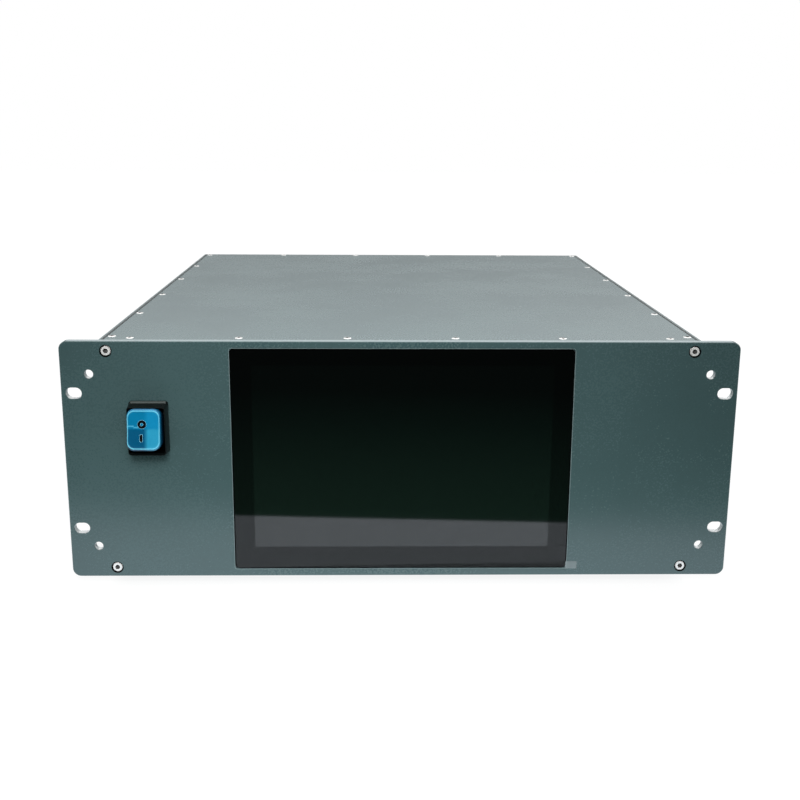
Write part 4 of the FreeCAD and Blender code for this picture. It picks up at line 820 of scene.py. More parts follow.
@dataclass(frozen=True)
class RockerFinish:
    """Tinted gloss plastic, its face in four quarters of lighter and darker blue: painted
    light and shade, darkest at the lower left.

    The mark attribute runs from 0 on the flanks, over 0.5 on the face, to 1 on the rim:
    painted shade on the flanks and a painted highlight on the rim. The two painted glint
    streaks are (low x, high x, low z, high z) from the face's middle.
    """

    name: str
    middle_x: float = -179.2
    middle_z: float = 125.4
    # Lit and shaded copies of one blue as painted light and shade, then a painted highlight on the
    # rim, a painted glint and painted shade on the flanks.
    upper: tuple[Tone, Tone] = ((0.0030, 0.222, 0.42), (0.008, 0.285, 0.53))
    lower: tuple[Tone, Tone] = ((0.0008, 0.100, 0.21), (0.028, 0.355, 0.56))
    painted_rim: Tone = (0.20, 0.72, 0.92)
    glint: Tone = (0.09, 0.50, 0.72)
    flank_shade: Tone = (0.002, 0.06, 0.14)
    haze: Tone = (0.66, 0.76, 0.82)
    glint_streaks: tuple[PlateRing, ...] = ((-13.0, -7.8, 1.4, 2.8), (-8.4, -2.8, 0.5, 1.8))

    def face(self, sheet: Sheet) -> bpy.types.NodeSocket:
        """The face's colour: four soft-edged quarters of painted light and shade, and the painted
        glint streaks over them.
        """
        everywhere = (-FAR, FAR)
        right = sheet.window((self.middle_x - 1.2, FAR), everywhere, 3.0)
        over = sheet.window(everywhere, (self.middle_z - 0.8, FAR), 1.6)
        halves = [
            sheet.mix(rgba(left_tone), rgba(right_tone), right)
            for left_tone, right_tone in (self.lower, self.upper)
        ]
        shown = sheet.mix(*halves, over)
        for left, end, low, high in self.glint_streaks:
            wide = (self.middle_x + left, self.middle_x + end)
            tall = (self.middle_z + low, self.middle_z + high)
            shown = sheet.mix(shown, rgba(self.glint), sheet.window(wide, tall, 0.5))
        return shown

    def build(self) -> bpy.types.Material:
        """Make the material."""
        sheet = Sheet(self.name)
        dark, light = rgba(self.haze), rgba((1.0, 1.0, 1.0))
        cloud = sheet.use(Kit.mottle(), Scale=120.0, Speckle_Scale=420.0, Dark=dark, Light=light)
        face = sheet.mix(self.face(sheet), cloud["Color"], 1.0, blend="MULTIPLY")
        # Painted shade on the flanks, painted highlight on the rim.
        mark = sheet.put("ShaderNodeAttribute", attribute_name="mark").outputs["Fac"]
        wall = sheet.span(mark, (0.0, 0.5), (0.0, 1.0))
        lit = sheet.span(mark, (0.5, 1.0), (0.0, 1.0))
        shade = sheet.mix(rgba(self.flank_shade), face, wall)
        ripple = sheet.grained(130.0, 0.0004, 0.25)
        return sheet.done(
            {
                "Base Color": sheet.mix(shade, rgba(self.painted_rim), lit),
                "Normal": ripple["Normal"], "Roughness": 0.22,
                "Coat Weight": 0.12, "Coat Roughness": 0.05,
            }
        )


class Finishes:
    """Every finish of the amplifier, each material made once and shared."""

    # The panel's rim tone is a painted highlight along its top edge; its bore tone is painted light
    # on the walls of holes and slots.
    panel = CoatFinish(
        "panel_coat", (0.058, 0.104, 0.107), 184.38, (0.20, 0.26, 0.27),
        bore_depth=(FRONT_Y + 1.0, INNER_Y - 0.05),
    )
    case = CoatFinish(
        "case_coat", (0.058, 0.104, 0.109), 500.0, (0.058, 0.104, 0.107), swing=0.14
    )
    # The profiles' rim tone is painted shade on their top faces beside the cover.
    profile = CoatFinish(
        "profile_coat", (0.058, 0.104, 0.107), 183.9, (0.012, 0.016, 0.017), 213.5, 0.7
    )
    # Painted highlight on the bevel round the display opening.
    edge = CoatFinish("opening_edge_highlight", (0.17, 0.235, 0.24), 500.0, (0.17, 0.235, 0.24))
    mill = MetalFinish("mill_aluminium", (0.72, 0.73, 0.74), 0.38, (900.0, 30.0, 900.0))
    nickel = MetalFinish("bright_nickel", (0.86, 0.85, 0.82), 0.16, (300.0, 300.0, 300.0))
    # Its drive recesses get painted shade, a sixth of the tone.
    screw = MetalFinish(
        "satin_screws", (0.93, 0.92, 0.90), 0.36, (300.0, 300.0, 300.0), metallic=0.2, recess=0.16
    )
    zinc = MetalFinish("zinc_plate", (0.62, 0.64, 0.66), 0.32, (500.0, 60.0, 500.0))
    copper = MetalFinish("machined_copper", (0.86, 0.42, 0.28), 0.3, (900.0, 60.0, 900.0))
    brass = MetalFinish("plain_brass", (0.80, 0.60, 0.28), 0.28, (500.0, 60.0, 500.0))
    tin = MetalFinish("tin_plate", (0.74, 0.73, 0.70), 0.4, (400.0, 60.0, 400.0))
    rubber = MouldedFinish("black_rubber", (0.012, 0.012, 0.013), 0.75, 700.0)
    gasket = MouldedFinish("black_gasket", (0.0008, 0.0009, 0.0009), 0.8, 700.0, specular=0.05)
    foam = MouldedFinish("foam_strip", (0.03, 0.03, 0.032), 0.9, 500.0, 0.0002)
    bezel = MouldedFinish(
        "switch_bezel_black", (0.0015, 0.002, 0.002), 0.3, 1800.0, 0.00001, 0.22
    )
    # Lighter strip on the bezel's upper bevel: painted highlight.
    bezel_highlight = MouldedFinish(
        "switch_bezel_highlight", (0.060, 0.072, 0.069), 0.24, 1800.0, 0.00001, 0.6
    )
    # Black lining of the corner screws' counterbores: painted shade.
    seat = MouldedFinish("screw_seat_shade", (0.002, 0.003, 0.003), 0.6, specular=0.2)
    inlet = MouldedFinish("inlet_black", (0.012, 0.012, 0.013), 0.4)
    fan = MouldedFinish("fan_black", (0.010, 0.010, 0.011), 0.38)
    relay = MouldedFinish("relay_black", (0.015, 0.015, 0.02), 0.35)
    ferrite = MouldedFinish("ferrite_grey", (0.03, 0.03, 0.034), 0.6, 300.0, 0.0001)
    core = MouldedFinish("ring_core_red", (0.32, 0.02, 0.012), 0.45, 300.0)
    ceramic = MouldedFinish("ceramic_cream", (0.62, 0.58, 0.50), 0.5)
    white = MouldedFinish("white_insulator", (0.78, 0.78, 0.75), 0.35, 900.0)
    red = MouldedFinish("red_insulator", (0.45, 0.02, 0.02), 0.35, 900.0)
    marks = MouldedFinish("mark_black", (0.002, 0.003, 0.005), 0.3, 900.0)
    # Pale edge round the O and I: painted highlight.
    pale = MouldedFinish("mark_outline_highlight", (0.30, 0.72, 0.88), 0.35, 900.0)
    board = BoardFinish("circuit_board")
    screen = ScreenFinish("display_glass_black")
    film = FilmFinish("clear_film")
    rocker = RockerFinish("rocker_blue")

    @classmethod
    @cache
    def get(cls, name: str) -> bpy.types.Material:
        """The material of a named finish, built on first use."""
        return getattr(cls, name).build()


# ---------------------------------------------------------------------------
# Pieces
# ---------------------------------------------------------------------------

CHASSIS = "chassis"
CRISP_ANGLE = math.radians(34.0)
WELD_DISTANCE = 2e-6


def add_piece(
    name: str,
    surfaces: Sequence[Surface],
    finish: str,
    replaces: Sequence[str] = (),
    body: str = CHASSIS,
) -> None:
    """Write surfaces into one mesh object that rides on a body.

    Args:
        name: the object's name.
        surfaces: its surfaces, in millimetres.
        finish: the name of its finish.
        replaces: the CAD nodes that it stands for.
        body: the body that it moves with.
    """
    starts = np.cumsum([0] + [len(part.points) for part in surfaces])
    points = np.concatenate([part.points for part in surfaces]) * MM
    faces = np.concatenate([part.faces + start for part, start in zip(surfaces, starts)])
    mesh = bpy.data.meshes.new(name)
    mesh.from_pydata(points.tolist(), [], faces.tolist())
    if any(part.marks is not None for part in surfaces):
        values = np.concatenate(
            [np.zeros(len(p.points)) if p.marks is None else p.marks for p in surfaces]
        )
        layer = mesh.attributes.new("mark", "FLOAT", "POINT")
        layer.data.foreach_set("value", values.astype(np.float32))
    work = bmesh.new()
    work.from_mesh(mesh)
    bmesh.ops.remove_doubles(work, verts=work.verts, dist=WELD_DISTANCE)
    bmesh.ops.recalc_face_normals(work, faces=work.faces)
    work.to_mesh(mesh)
    work.free()
    mesh.shade_smooth()
    mesh.set_sharp_from_angle(angle=CRISP_ANGLE)
    mesh.materials.append(Finishes.get(finish))
    thing = bpy.data.objects.new(name, mesh)
    bpy.context.scene.collection.objects.link(thing)
    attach(thing, body)
    if replaces:
        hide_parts(*replaces)
    LOG.info("%s: %d points on %s", name, len(mesh.vertices), body)


@dataclass
class CaseDress:
    """Finishes of the case plates and of everything that keeps its CAD shape."""

    finish_of: dict[str, str] = field(
        default_factory=lambda: {
            "panel": "front_panel",
            "case": "top_cover bottom_plate rear_panel",
            "profile": "left_side_profile right_side_profile",
            "mill": "front_cross_bars rear_cross_bars heatsink display_tray",
            "zinc": "display_studs display_nuts ground_nut power_supply",
            "gasket": "display_gasket",
            "foam": "display_pads",
            "screen": "display_glass",
            "film": "protective_film",
            "relay": "lcd_module filter_relays",
            "tin": "switch_terminals inlet_prongs supply_lugs",
            "fan": "left_fan_frame right_fan_frame",
            "inlet": "mains_inlet",
            "nickel": "data_connector",
            "board": "display_driver_board amplifier_board filter_board control_board",
            "brass": "driver_board_spacers filter_board_spacers control_board_spacers",
            "copper": "copper_spreader",
            "ceramic": "power_transistor",
            "ferrite": "output_transformer input_transformer supply_choke",
            "core": "filter_toroids",
        }
    )

    def dress(self) -> None:
        """Give every kept CAD node its finish."""
        for finish, names in self.finish_of.items():
            for node in names.split():
                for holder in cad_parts[node].material_slots:
                    holder.material = Finishes.get(finish)
            LOG.info("%s on %s", finish, names)


@dataclass
class Fasteners:
    """Round countersunk, socket-head and pan-head screws in place of the plain ones.

    Attributes:
        side_x: distance of the cover's side rows from the middle.
        side_ends: distance of these rows' ends from the panel's back and from the rear.
        cover_rows: half length, distance from the plate's end, and count of the cover's
            front row and rear row.
        corner: half distances between the panel's corner screws.
        seat_deep: how deep the corner screws' heads sit in the panel.
        fan_pitch: distance between a fan's screws.
        fan_x: the middles of the fans.
        inlet_x: the mains inlet's middle.
        inlet_z: heights of its two screws.
        inlet_proud: how far its flange stands off the rear panel.
    """

    side_x: float = 208.4
    side_ends: Pair = (15.0, 7.0)
    cover_rows: tuple[tuple[float, float, int], ...] = ((194.3, 9.0, 6), (124.0, 5.0, 4))
    corner: Pair = (208.5, 81.5)
    seat_deep: float = 4.3
    fan_pitch: float = 105.0
    fan_x: Pair = (-82.0, 44.0)
    inlet_x: float = -178.0
    inlet_z: Pair = (115.0, 157.0)
    inlet_proud: float = 3.0
    sunk_screw: Screw = Screw(2.85, 0.42, 1.4, 5.5, sunk=True)
    corner_screw: Screw = Screw(3.5, 4.0, 1.95, 12.6, Recess.HEX)
    fan_screw: Screw = Screw(3.7, 2.4, 1.9, 10.5)
    inlet_screw: Screw = Screw(2.7, 1.5, 1.4, 7.4)

    def side_spots(self, count: int) -> list[Pair]:
        """Screw places in the two side rows."""
        front, rear = self.side_ends
        rows = np.linspace(INNER_Y + front, REAR_Y - rear, count)
        return [(hand * self.side_x, float(y)) for hand in (-1, 1) for y in rows]

    def cover_spots(self) -> list[Pair]:
        """Screw places of the top cover."""
        spots = self.side_spots(6)
        (front, front_in, front_count), (rear, rear_in, rear_count) = self.cover_rows
        spots += [(float(x), INNER_Y + front_in) for x in np.linspace(-front, front, front_count)]
        spots += [(float(x), REAR_Y - rear_in) for x in np.linspace(-rear, rear, rear_count)]
        return spots

    def plate_set(self, plate: str, spots: Sequence[Pair], z: float, axis: Axis) -> None:
        """Add the countersunk screws of a plate whose outer face is at z."""
        screws = [self.sunk_screw.at((x, y, z), axis) for x, y in spots]
        add_piece(f"{plate}_screw_set", screws, "screw", [f"{plate}_screws"])

    def corner_set(self) -> None:
        """Add the panel's corner screws, each in a black seat that lines its counterbore: painted
        shade.
        """
        spots = [(x, MIDDLE_Z + z) for x, z in corners(*self.corner)]
        heads = [
            self.corner_screw.at((x, FRONT_Y + self.seat_deep, z), Axis.FRONT) for x, z in spots
        ]
        well = [
            (4.45, 0.0), (4.4, 0.03), (4.2, 0.03), (4.08, -0.1), (4.08, -4.2), (2.3, -4.2),
            (2.3, -4.25), (4.45, -4.25), (4.45, 0.0),
        ]
        seat_shades = [lathe(well, Axis.FRONT, (x, FRONT_Y, z)) for x, z in spots]
        add_piece("corner_screw_set", heads, "screw", ["panel_corner_screws"])
        add_piece("corner_screw_seat_shades", seat_shades, "seat")

    def build(self) -> None:
        """Add all the screws."""
        self.plate_set("cover", self.cover_spots(), ROOF_Z, Axis.UP)
        self.plate_set("bottom", self.side_spots(3), BASE_Z, Axis.DOWN)
        self.corner_set()
        half = self.fan_pitch / 2
        fans = [
            self.fan_screw.at((middle + x, REAR_Y, MIDDLE_Z + z), Axis.REAR)
            for middle in self.fan_x
            for x, z in corners(half, half)
        ]
        add_piece("fan_screw_set", fans, "screw", ["fan_screws"])
        face = REAR_Y + self.inlet_proud
        inlet = [self.inlet_screw.at((self.inlet_x, face, z), Axis.REAR) for z in self.inlet_z]
        add_piece("inlet_screw_set", inlet, "screw", ["inlet_screws"])


@dataclass
class DisplayOpening:
    """The narrow bevel round the display opening of the front panel, in a lighter coat tone: a
    painted highlight.

    Attributes:
        width: how far it reaches round the opening.
        proud: how far it stands off the panel's face.
        depth: how far it reaches into the panel.
        corner: the opening's corner radius.
    """

    width: float = 0.5
    proud: float = 0.03
    depth: float = 0.3
    corner: float = 1.6

    def build(self) -> None:
        """Add the bevel.

        Rings go out along the panel's face, a little proud of it, and back inside it.
        """
        low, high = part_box("display_gasket")
        centre = ((low.x + high.x) / 2 / MM, FRONT_Y, (low.z + high.z) / 2 / MM)
        wide, tall = (high.x - low.x) / 2 / MM, (high.z - low.z) / 2 / MM
        steps = [
            (0.0, 0.0, self.depth),
            (0.0, 0.0, self.depth * 0.4),
            (self.width * 0.7, 0.3, -self.proud),
            (self.width, 0.5, -self.proud),
            (self.width, 0.5, self.depth),
            (0.0, 0.0, self.depth),
        ]
        rings = [(wide + out, tall + out, self.corner + more, y) for out, more, y in steps]
        bevel = grid_surface(front_rings(rings, centre))
        add_piece("display_opening_bevel", [bevel], "edge")


@dataclass
class PowerSwitch:
    """Flared black bezel with a well, and a hollow-faced blue rocker with its two marks.

    Attributes:
        x: the bezel's middle.
        z: its height.
        stand: how far the bezel stands out.
        half_wide: half the bezel's width.
        half_high: half its height.
        draft: how much its walls lean in.
        well: half width and half height of the well.
        body: half width, half height and depth of the body behind the panel.
        pivot_out: the rocker's axis, before the panel.
        rocker_front: the rocker's face before its axis.
        rocker_dish: depth of the valley in that face.
        rocker_half_wide: half the rocker's width.
        rocker_half_high: half its height.
        rocker_aside: the rocker's middle from the bezel's.
        tilt: degrees from level to rest.
        ring_at: middle of the O on the face.
        bar_at: middle of the I on the face.
    """

    x: float = -180.0
    z: float = 122.5
    stand: float = 12.0
    half_wide: float = 14.0
    half_high: float = 19.0
    draft: float = 0.63
    well: Pair = (12.6, 16.3)
    body: Triple = (11.0, 16.0, 26.0)
    pivot_out: float = 4.0
    rocker_front: float = 14.6
    rocker_dish: float = 0.8
    rocker_half_wide: float = 11.75
    rocker_half_high: float = 14.8
    rocker_aside: float = -0.72
    tilt: float = -10.0
    ring_at: Pair = (-0.95, 3.9)
    bar_at: Pair = (-1.5, -5.8)

    def bezel(self) -> list[Surface]:
        """The bezel from the panel out, over its rounded lip and down into the well.

        Its upper wall is bevelled close to the panel: each outer ring's top sinks.
        """
        wide, high = self.half_wide, self.half_high
        lean_wide, lean_high = wide - self.draft, high - self.draft
        well_wide, well_high = self.well
        lip = -self.stand
        centre = (self.x, FRONT_Y, self.z)
        groove = (wide - 0.45, high - 0.45, 2.0)
        rings = [
            (*groove, 0.0),
            (*groove, -0.35),
            (wide, high, 2.2, -0.45),
            (wide, high, 2.2, -0.9),
            (wide, high, 2.4, -1.9),
            (wide, high, 2.4, -3.1),
            (wide, high, 2.4, -3.5),
            (lean_wide, lean_high, 2.4, lip + 0.8),
            (lean_wide - 0.1, lean_high - 0.1, 2.3, lip + 0.35),
            (lean_wide - 0.35, lean_high - 0.35, 2.0, lip + 0.1),
            (well_wide + 0.2, well_high + 0.2, 1.4, lip + 0.1),
            (well_wide + 0.04, well_high + 0.04, 1.2, lip + 0.25),
            (well_wide, well_high, 1.2, lip + 0.6),
            (well_wide, well_high, 1.2, -0.2),
            (*PINPOINT, -0.2),
        ]
        sink = np.array([0, 0, 0, 0, 0.65, 1.35, 1.4, 1.4, 1.4, 1.4, 0, 0, 0, 0, 0])
        outer = front_rings(rings, centre)
        above = np.clip((outer[..., 2] - self.z) / high, 0.0, 1.0)
        outer[..., 2] -= sink[:, None] * above**3
        body_wide, body_high, body_deep = self.body
        body = block(
            [(body_wide, body_high, 0.8, 0.0), (body_wide, body_high, 0.8, body_deep)], centre
        )
        back = grid_surface(front_rings([(*PINPOINT, 0.0), (*groove, 0.0)], centre))
        return [grid_surface(outer), body, back]

    def lit_edge(self) -> Surface:
        """A painted highlight on the bezel's upper bevel: a thin lighter strip laid on it, wider at
        its right end.
        """
        along = np.linspace(-12.4, 12.6, 26)
        swell = 0.12 * np.clip((along - 9.5) / 2.5, 0.0, 1.0)
        rows = []
        for out, low, lift in (
            (-1.2, 0.2, 0.04 + swell),
            (-2.9, 1.22, 0.04 + swell),
            (-2.9, 1.6, 0 * swell),
            (-1.2, 0.8, 0 * swell),
        ):
            high = self.half_high - low + lift * 0.6
            rows.append(np.stack([along, out - lift, high], axis=-1))
        ring = np.stack(rows, axis=1)
        return grid_surface(capped(ring) + np.array([self.x, FRONT_Y, self.z]))

    def tilted(self, points: Array) -> Array:
        """Turn rocker points from its level position to rest, about the pivot."""
        angle = math.radians(self.tilt)
        cos, sin = math.cos(angle), math.sin(angle)
        turn = np.array([[1, 0, 0], [0, cos, -sin], [0, sin, cos]])
        pivot = np.array([self.x + self.rocker_aside, FRONT_Y - self.pivot_out, self.z])
        return points @ turn.T + pivot

    def face_height(self, x: Array, z: Array) -> Array:
        """How far out the cap's face is: a softened valley, lowest along its middle.

        out = front - dish * (1 - (sqrt(z^2 + s^2) - s) / (half height - s))
        """
        soft = 1.0
        share = (np.sqrt(z**2 + soft**2) - soft) / (self.rocker_half_high - soft)
        return self.rocker_front - self.rocker_dish * (1 - np.clip(share, 0, 1)) + 0 * x

    def cap(self) -> Surface:
        """The rocker cap: skirt, bevel, rim with a painted highlight, and face, as rings that
        shrink inwards.

        Each ring has its inset at the sides, its inset at the ends, its drop below the
        face and its mark. The first two are the skirt, at a level of their own.
        """
        inset = np.array([0.4, 0.0, 0.0, 0.1, 0.3, 0.48, 0.62, 0.9, 1.2, 1.8, 5.0, 8.0, 11.6])
        ends = np.array([0.4, 0.0, 0.0, 0.3, 0.75, 1.1, 1.4, 1.75, 2.1, 2.8, 6.2, 10.0, 14.4])
        drop = np.array([0, 0, 1.3, 0.85, 0.4, 0.12, 0.02, 0.04, 0.16, 0.2, 0.08, 0.03, 0.02])
        # Marks: painted shade on the flanks (0), the face (0.5) and a painted highlight on the rim
        # (1).
        glow = np.array([0, 0, 0.1, 0.2, 0.3, 0.6, 1.0, 0.8, 0.52, 0.5, 0.5, 0.5, 0.5])
        skirt = (-2.0, 8.0)
        rows = []
        for index in range(len(inset)):
            half_wide = max(self.rocker_half_wide - inset[index], 0.02)
            half_high = max(self.rocker_half_high - ends[index], 0.02)
            radius = max(5.2 - inset[index] * 0.6, 0.01)
            x, z = rounded_ring(half_wide, half_high, radius, arc=9, side=10).T
            out = self.face_height(x, z) - drop[index]
            if index < len(skirt):
                out = np.full(len(x), skirt[index])
            rows.append(np.stack([x, -out, z], axis=-1))
        closed = capped(np.stack(rows), both=False)
        marks = np.concatenate([glow[:1], glow])[:, None] * np.ones(closed.shape[1])
        return grid_surface(self.tilted(closed), marks)

    def on_face(self, x: Array, z: Array, lift: float) -> Array:
        """Points that lie on the cap's face, lifted a little off it."""
        return self.tilted(np.stack([x, -self.face_height(x, z) - lift, z], axis=-1))

    def ring_mark(self, inner: float, outer: float, lift: float) -> Surface:
        """The O: a flat ring on the face with its own thin edge."""
        (x, z), angle = self.ring_at, circle(40)
        rows = [
            self.on_face(x + radius * np.cos(angle), z + radius * np.sin(angle), rise)
            for radius, rise in ((inner, -0.1), (inner, lift), (outer, lift), (outer, -0.1))
        ]
        return grid_surface(np.stack([*rows, rows[0]]))

    def bar_mark(self, wide: float, high: float, lift: float) -> Surface:
        """The I: a narrow bar on the face with its own thin edge."""
        x, z = self.bar_at
        flat = rounded_ring(wide / 2, high / 2, wide / 3, 3, 3)
        tiny = flat * 0.001
        rows = [
            self.on_face(x + ring[:, 0], z + ring[:, 1], rise)
            for ring, rise in ((tiny, lift), (flat, lift), (flat, -0.1), (tiny, -0.1))
        ]
        return grid_surface(np.stack(rows))

    def build(self) -> None:
        """Add the switch's pieces."""
        add_piece("switch_bezel", self.bezel(), "bezel", ["switch_housing"])
        # A painted highlight laid on the bezel's upper bevel.
        add_piece("switch_bezel_highlight", [self.lit_edge()], "bezel_highlight")
        add_piece("rocker_cap", [self.cap()], "rocker", ["switch_rocker"], "rocker")
        # Pale rings round the marks, a little wider than them: painted highlight on their edges.
        outline = [self.ring_mark(1.0, 3.15, 0.03), self.bar_mark(2.25, 5.5, 0.03)]
        add_piece("rocker_mark_outline_highlight", outline, "pale", body="rocker")
        marks = [self.ring_mark(1.15, 3.0, 0.06), self.bar_mark(1.95, 5.1, 0.06)]
        add_piece("rocker_marks", marks, "marks", body="rocker")


@dataclass
class Feet:
    """Turned rubber feet with a moulded ring and a screw recess underneath."""

    x: float = 170.0
    y: Pair = (-195.5, 198.5)

    def build(self) -> None:
        """Add the four feet."""
        profile = [
            (0.0, 8.0), (10.8, 8.0), (10.95, 7.8), (10.9, 5.0), (9.9, 0.9), (9.3, 0.25),
            (8.6, 0.0), (6.2, 0.0), (5.8, 0.3), (5.4, 1.2), (3.6, 1.4), (3.5, 4.5), (0.0, 4.5),
        ]
        spots = [(hand * self.x, y, 0.0) for hand in (-1, 1) for y in self.y]
        feet = [lathe(profile, Axis.UP, spot, 56) for spot in spots]
        add_piece("foot_set", feet, "rubber", ["rubber_feet"])


@dataclass
class FanRotor:
    """Smooth hub and cambered, twisted blades of one fan.

    Attributes:
        side: left or right.
        x: the rotor's axis.
        front: the plane that its depths are counted from.
        blades: how many.
        root: radius where a blade starts, inside the hub.
        tip: radius where it ends.
        chord: its length along the axis.
        taper: what the chord loses at the tip, and the share of the blade where that starts.
        middle: depth of its middle.
        lean: half the sideways travel over the chord, at the root, and what the tip adds.
        belly: how far it bows.
        half_thick: half its thickness.
    """

    side: str
    x: float
    front: float = REAR_Y - 27.5
    blades: int = 5
    root: float = 14.0
    tip: float = 54.8
    chord: float = 17.0
    taper: Pair = (1.5, 0.8)
    middle: float = 11.0
    lean: Pair = (10.8, 1.6)
    belly: float = 2.0
    half_thick: float = 0.7

    def blade(self, turn: float) -> Surface:
        """One blade: chord share s from -1/2 to 1/2, and radius r from hub to tip.

        axial = middle + s * chord
        across = 2 s * lean(r) - (1 - 4 s^2) * belly, plus or minus half the thickness
        thickness = thickest * (1 - (2 s)^4), so both long edges are rounded off
        """
        share = np.linspace(-0.5, 0.5, 15)
        radius = np.linspace(self.root, self.tip, 12)[:, None]
        part = (radius - self.root) / (self.tip - self.root)
        lean = self.lean[0] + self.lean[1] * part
        loss, start = self.taper
        chord = self.chord - loss * np.maximum(0, part - start) / (1 - start)
        axial = self.middle + share[None, :] * chord
        bowed = 2 * share * lean - (1 - 4 * share**2) * self.belly
        thick = self.half_thick * (1 - (2 * share) ** 4) + 0.02
        upper, lower = (
            np.stack([np.broadcast_to(radius, bowed.shape), axial, bowed + hand * thick], -1)
            for hand in (1, -1)
        )
        loop = np.concatenate([upper, lower[:, ::-1]], axis=1)
        cos, sin = math.cos(turn), math.sin(turn)
        spin = np.array([[cos, 0, sin], [0, 1, 0], [-sin, 0, cos]])
        place = np.array([self.x, self.front, MIDDLE_Z])
        return grid_surface(capped(loop, both=False) @ spin.T + place)

    def build(self) -> None:
        """Add the rotor."""
        profile = [
            (0.0, 2.0), (17.6, 2.0), (19.2, 2.5), (19.75, 3.8), (19.8, 20.0), (18.0, 20.0),
            (18.0, 4.2), (2.0, 4.2), (2.0, 23.0), (0.0, 23.0),
        ]
        hub = lathe(profile, Axis.REAR, (self.x, self.front, MIDDLE_Z), 64)
        blades = [self.blade(2 * math.pi * k / self.blades) for k in range(self.blades)]
        add_piece(
            f"{self.side}_rotor_blades", [hub, *blades], "fan",
            [f"{self.side}_fan_rotor"], f"{self.side}_rotor",
        )


@dataclass
class RearConnectors:
    """RF sockets, phono jacks, control connector insert and the ground stud.

    Attributes:
        sockets: the RF sockets' places across.
        socket_z: their height.
        socket_screw: half the distance between their flange screws.
        jacks: the phono jacks' places across.
        jack_z: their height.
        control: place across and height of the control connector.
        contact_pitch: distance between its contacts in a row.
        contact_row: half the distance between its rows.
        post_away: its posts from its middle.
        stud: place across and height of the ground stud.
    """

    sockets: Pair = (133.0, 183.0)
    socket_z: float = 136.0
    socket_screw: float = 9.1
    jacks: Pair = (146.0, 170.0)
    jack_z: float = 92.0
    control: Pair = (158.0, 56.0)
    contact_pitch: float = 2.77
    contact_row: float = 1.42
    post_away: float = 12.5
    stud: Pair = (-178.0, 52.0)
    rivet: Screw = Screw(1.9, 1.1, 0.9, 2.0)

    def rf_sockets(self) -> None:
        """Flanged sockets with thread rings, white insulators and contacts."""
        shell = [
            (0.0, -16.4), (4.6, -16.4), (4.9, -16.0), (4.9, 0.5), (7.4, 3.0), (7.4, 3.4),
            *threaded_profile(7.9, 1.06, 3.5, 18.2),
            (7.4, 18.9), (7.1, 19.0), (6.3, 19.0), (6.15, 18.8), (6.15, 8.6), (0.0, 8.6),
        ]
        flange = [
            (12.7, 12.7, 1.2, 0.0), (12.7, 12.7, 1.2, 2.6), (12.45, 12.45, 1.0, 2.95),
            (12.1, 12.1, 0.8, 3.0),
        ]
        fill = [
            (0.0, 8.7), (6.05, 8.7), (6.05, 16.1), (5.85, 16.4), (4.4, 16.4), (4.2, 16.0),
            (2.6, 16.0), (2.4, 16.4), (2.1, 16.4), (2.1, 9.5), (0.0, 9.5),
        ]
        contact = [
            (0.0, 9.6), (2.0, 9.6), (2.0, 16.0), (1.8, 16.2), (1.3, 16.2), (1.15, 15.9),
            (1.15, 10.5), (0.0, 10.5),
        ]
        shells, fills, pins, rivets = [], [], [], []
        for x in self.sockets:
            spot = (x, REAR_Y, self.socket_z)
            shells += [lathe(shell, Axis.REAR, spot, 64), block(flange, spot)]
            fills.append(lathe(fill, Axis.REAR, spot))
            pins.append(lathe(contact, Axis.REAR, spot, 32))
            rivets += [
                self.rivet.at((x + dx, REAR_Y + flange[-1][3], self.socket_z + dz), Axis.REAR)
                for dx, dz in corners(self.socket_screw, self.socket_screw)
            ]
        add_piece("rf_socket_shells", shells, "nickel", ["rf_sockets"])
        add_piece("rf_socket_fills", fills, "white", ["socket_insulators"])
        add_piece("rf_socket_contacts", pins, "brass")
        add_piece("rf_socket_screws", rivets, "nickel")

    def phono_jacks(self) -> None:
        """Hexagon collars, rolled shells and coloured inner rings."""
        shell = [
            (0.0, -6.9), (3.1, -6.9), (3.1, 0.0), (6.0, 0.0), (6.0, 1.9), (5.7, 2.2),
            (3.95, 2.2), (3.95, 8.5), (3.8, 8.95), (3.4, 9.0), (3.25, 8.8), (3.25, 1.2),
            (0.0, 1.2),
        ]
        fill = [
            (0.0, 1.3), (3.2, 1.3), (3.2, 8.0), (1.7, 8.0), (1.6, 7.8), (1.6, 2.0), (0.0, 2.0)
        ]
        spots = [(x, REAR_Y, self.jack_z) for x in self.jacks]
        shells = [lathe(shell, Axis.REAR, spot, hexagon=slice(3, 6)) for spot in spots]
        fills = [lathe(fill, Axis.REAR, spot) for spot in spots]
        add_piece("phono_jack_shells", shells, "nickel", ["phono_jacks"])
        add_piece("phono_jack_fills", fills, "red")

    def control_connector(self) -> None:
        """Contact block with nine holes, and two hexagon posts at its ends."""
        x, z = self.control
        insert = block([(6.9, 3.45, 0.8, 0.85), (6.9, 3.45, 0.8, 4.6)], (x, REAR_Y, z))
        cup = [
            (0.75, 4.58), (0.75, 4.72), (0.5, 4.72), (0.45, 4.4), (0.0, 4.4), (0.0, 4.3),
            (0.75, 4.3), (0.75, 4.58),
        ]
        post = [
            (0.0, 0.8), (2.4, 0.8), (2.4, 5.2), (2.2, 5.5), (1.45, 5.5), (1.4, 5.2),
            (1.4, 2.0), (0.0, 2.0),
        ]
        pitch, row = self.contact_pitch, self.contact_row
        spots = [(pitch * (k - 2), row) for k in range(5)]
        spots += [(pitch * (k - 1.5), -row) for k in range(4)]
        holes = [lathe(cup, Axis.REAR, (x + dx, REAR_Y, z + dz), 16) for dx, dz in spots]
        posts = [
            lathe(post, Axis.REAR, (x + hand * self.post_away, REAR_Y, z), 36, slice(1, 4))
            for hand in (-1, 1)
        ]
        add_piece("control_block", [insert], "inlet")
        add_piece("control_contacts", holes, "brass")
        add_piece("control_posts", posts, "nickel")

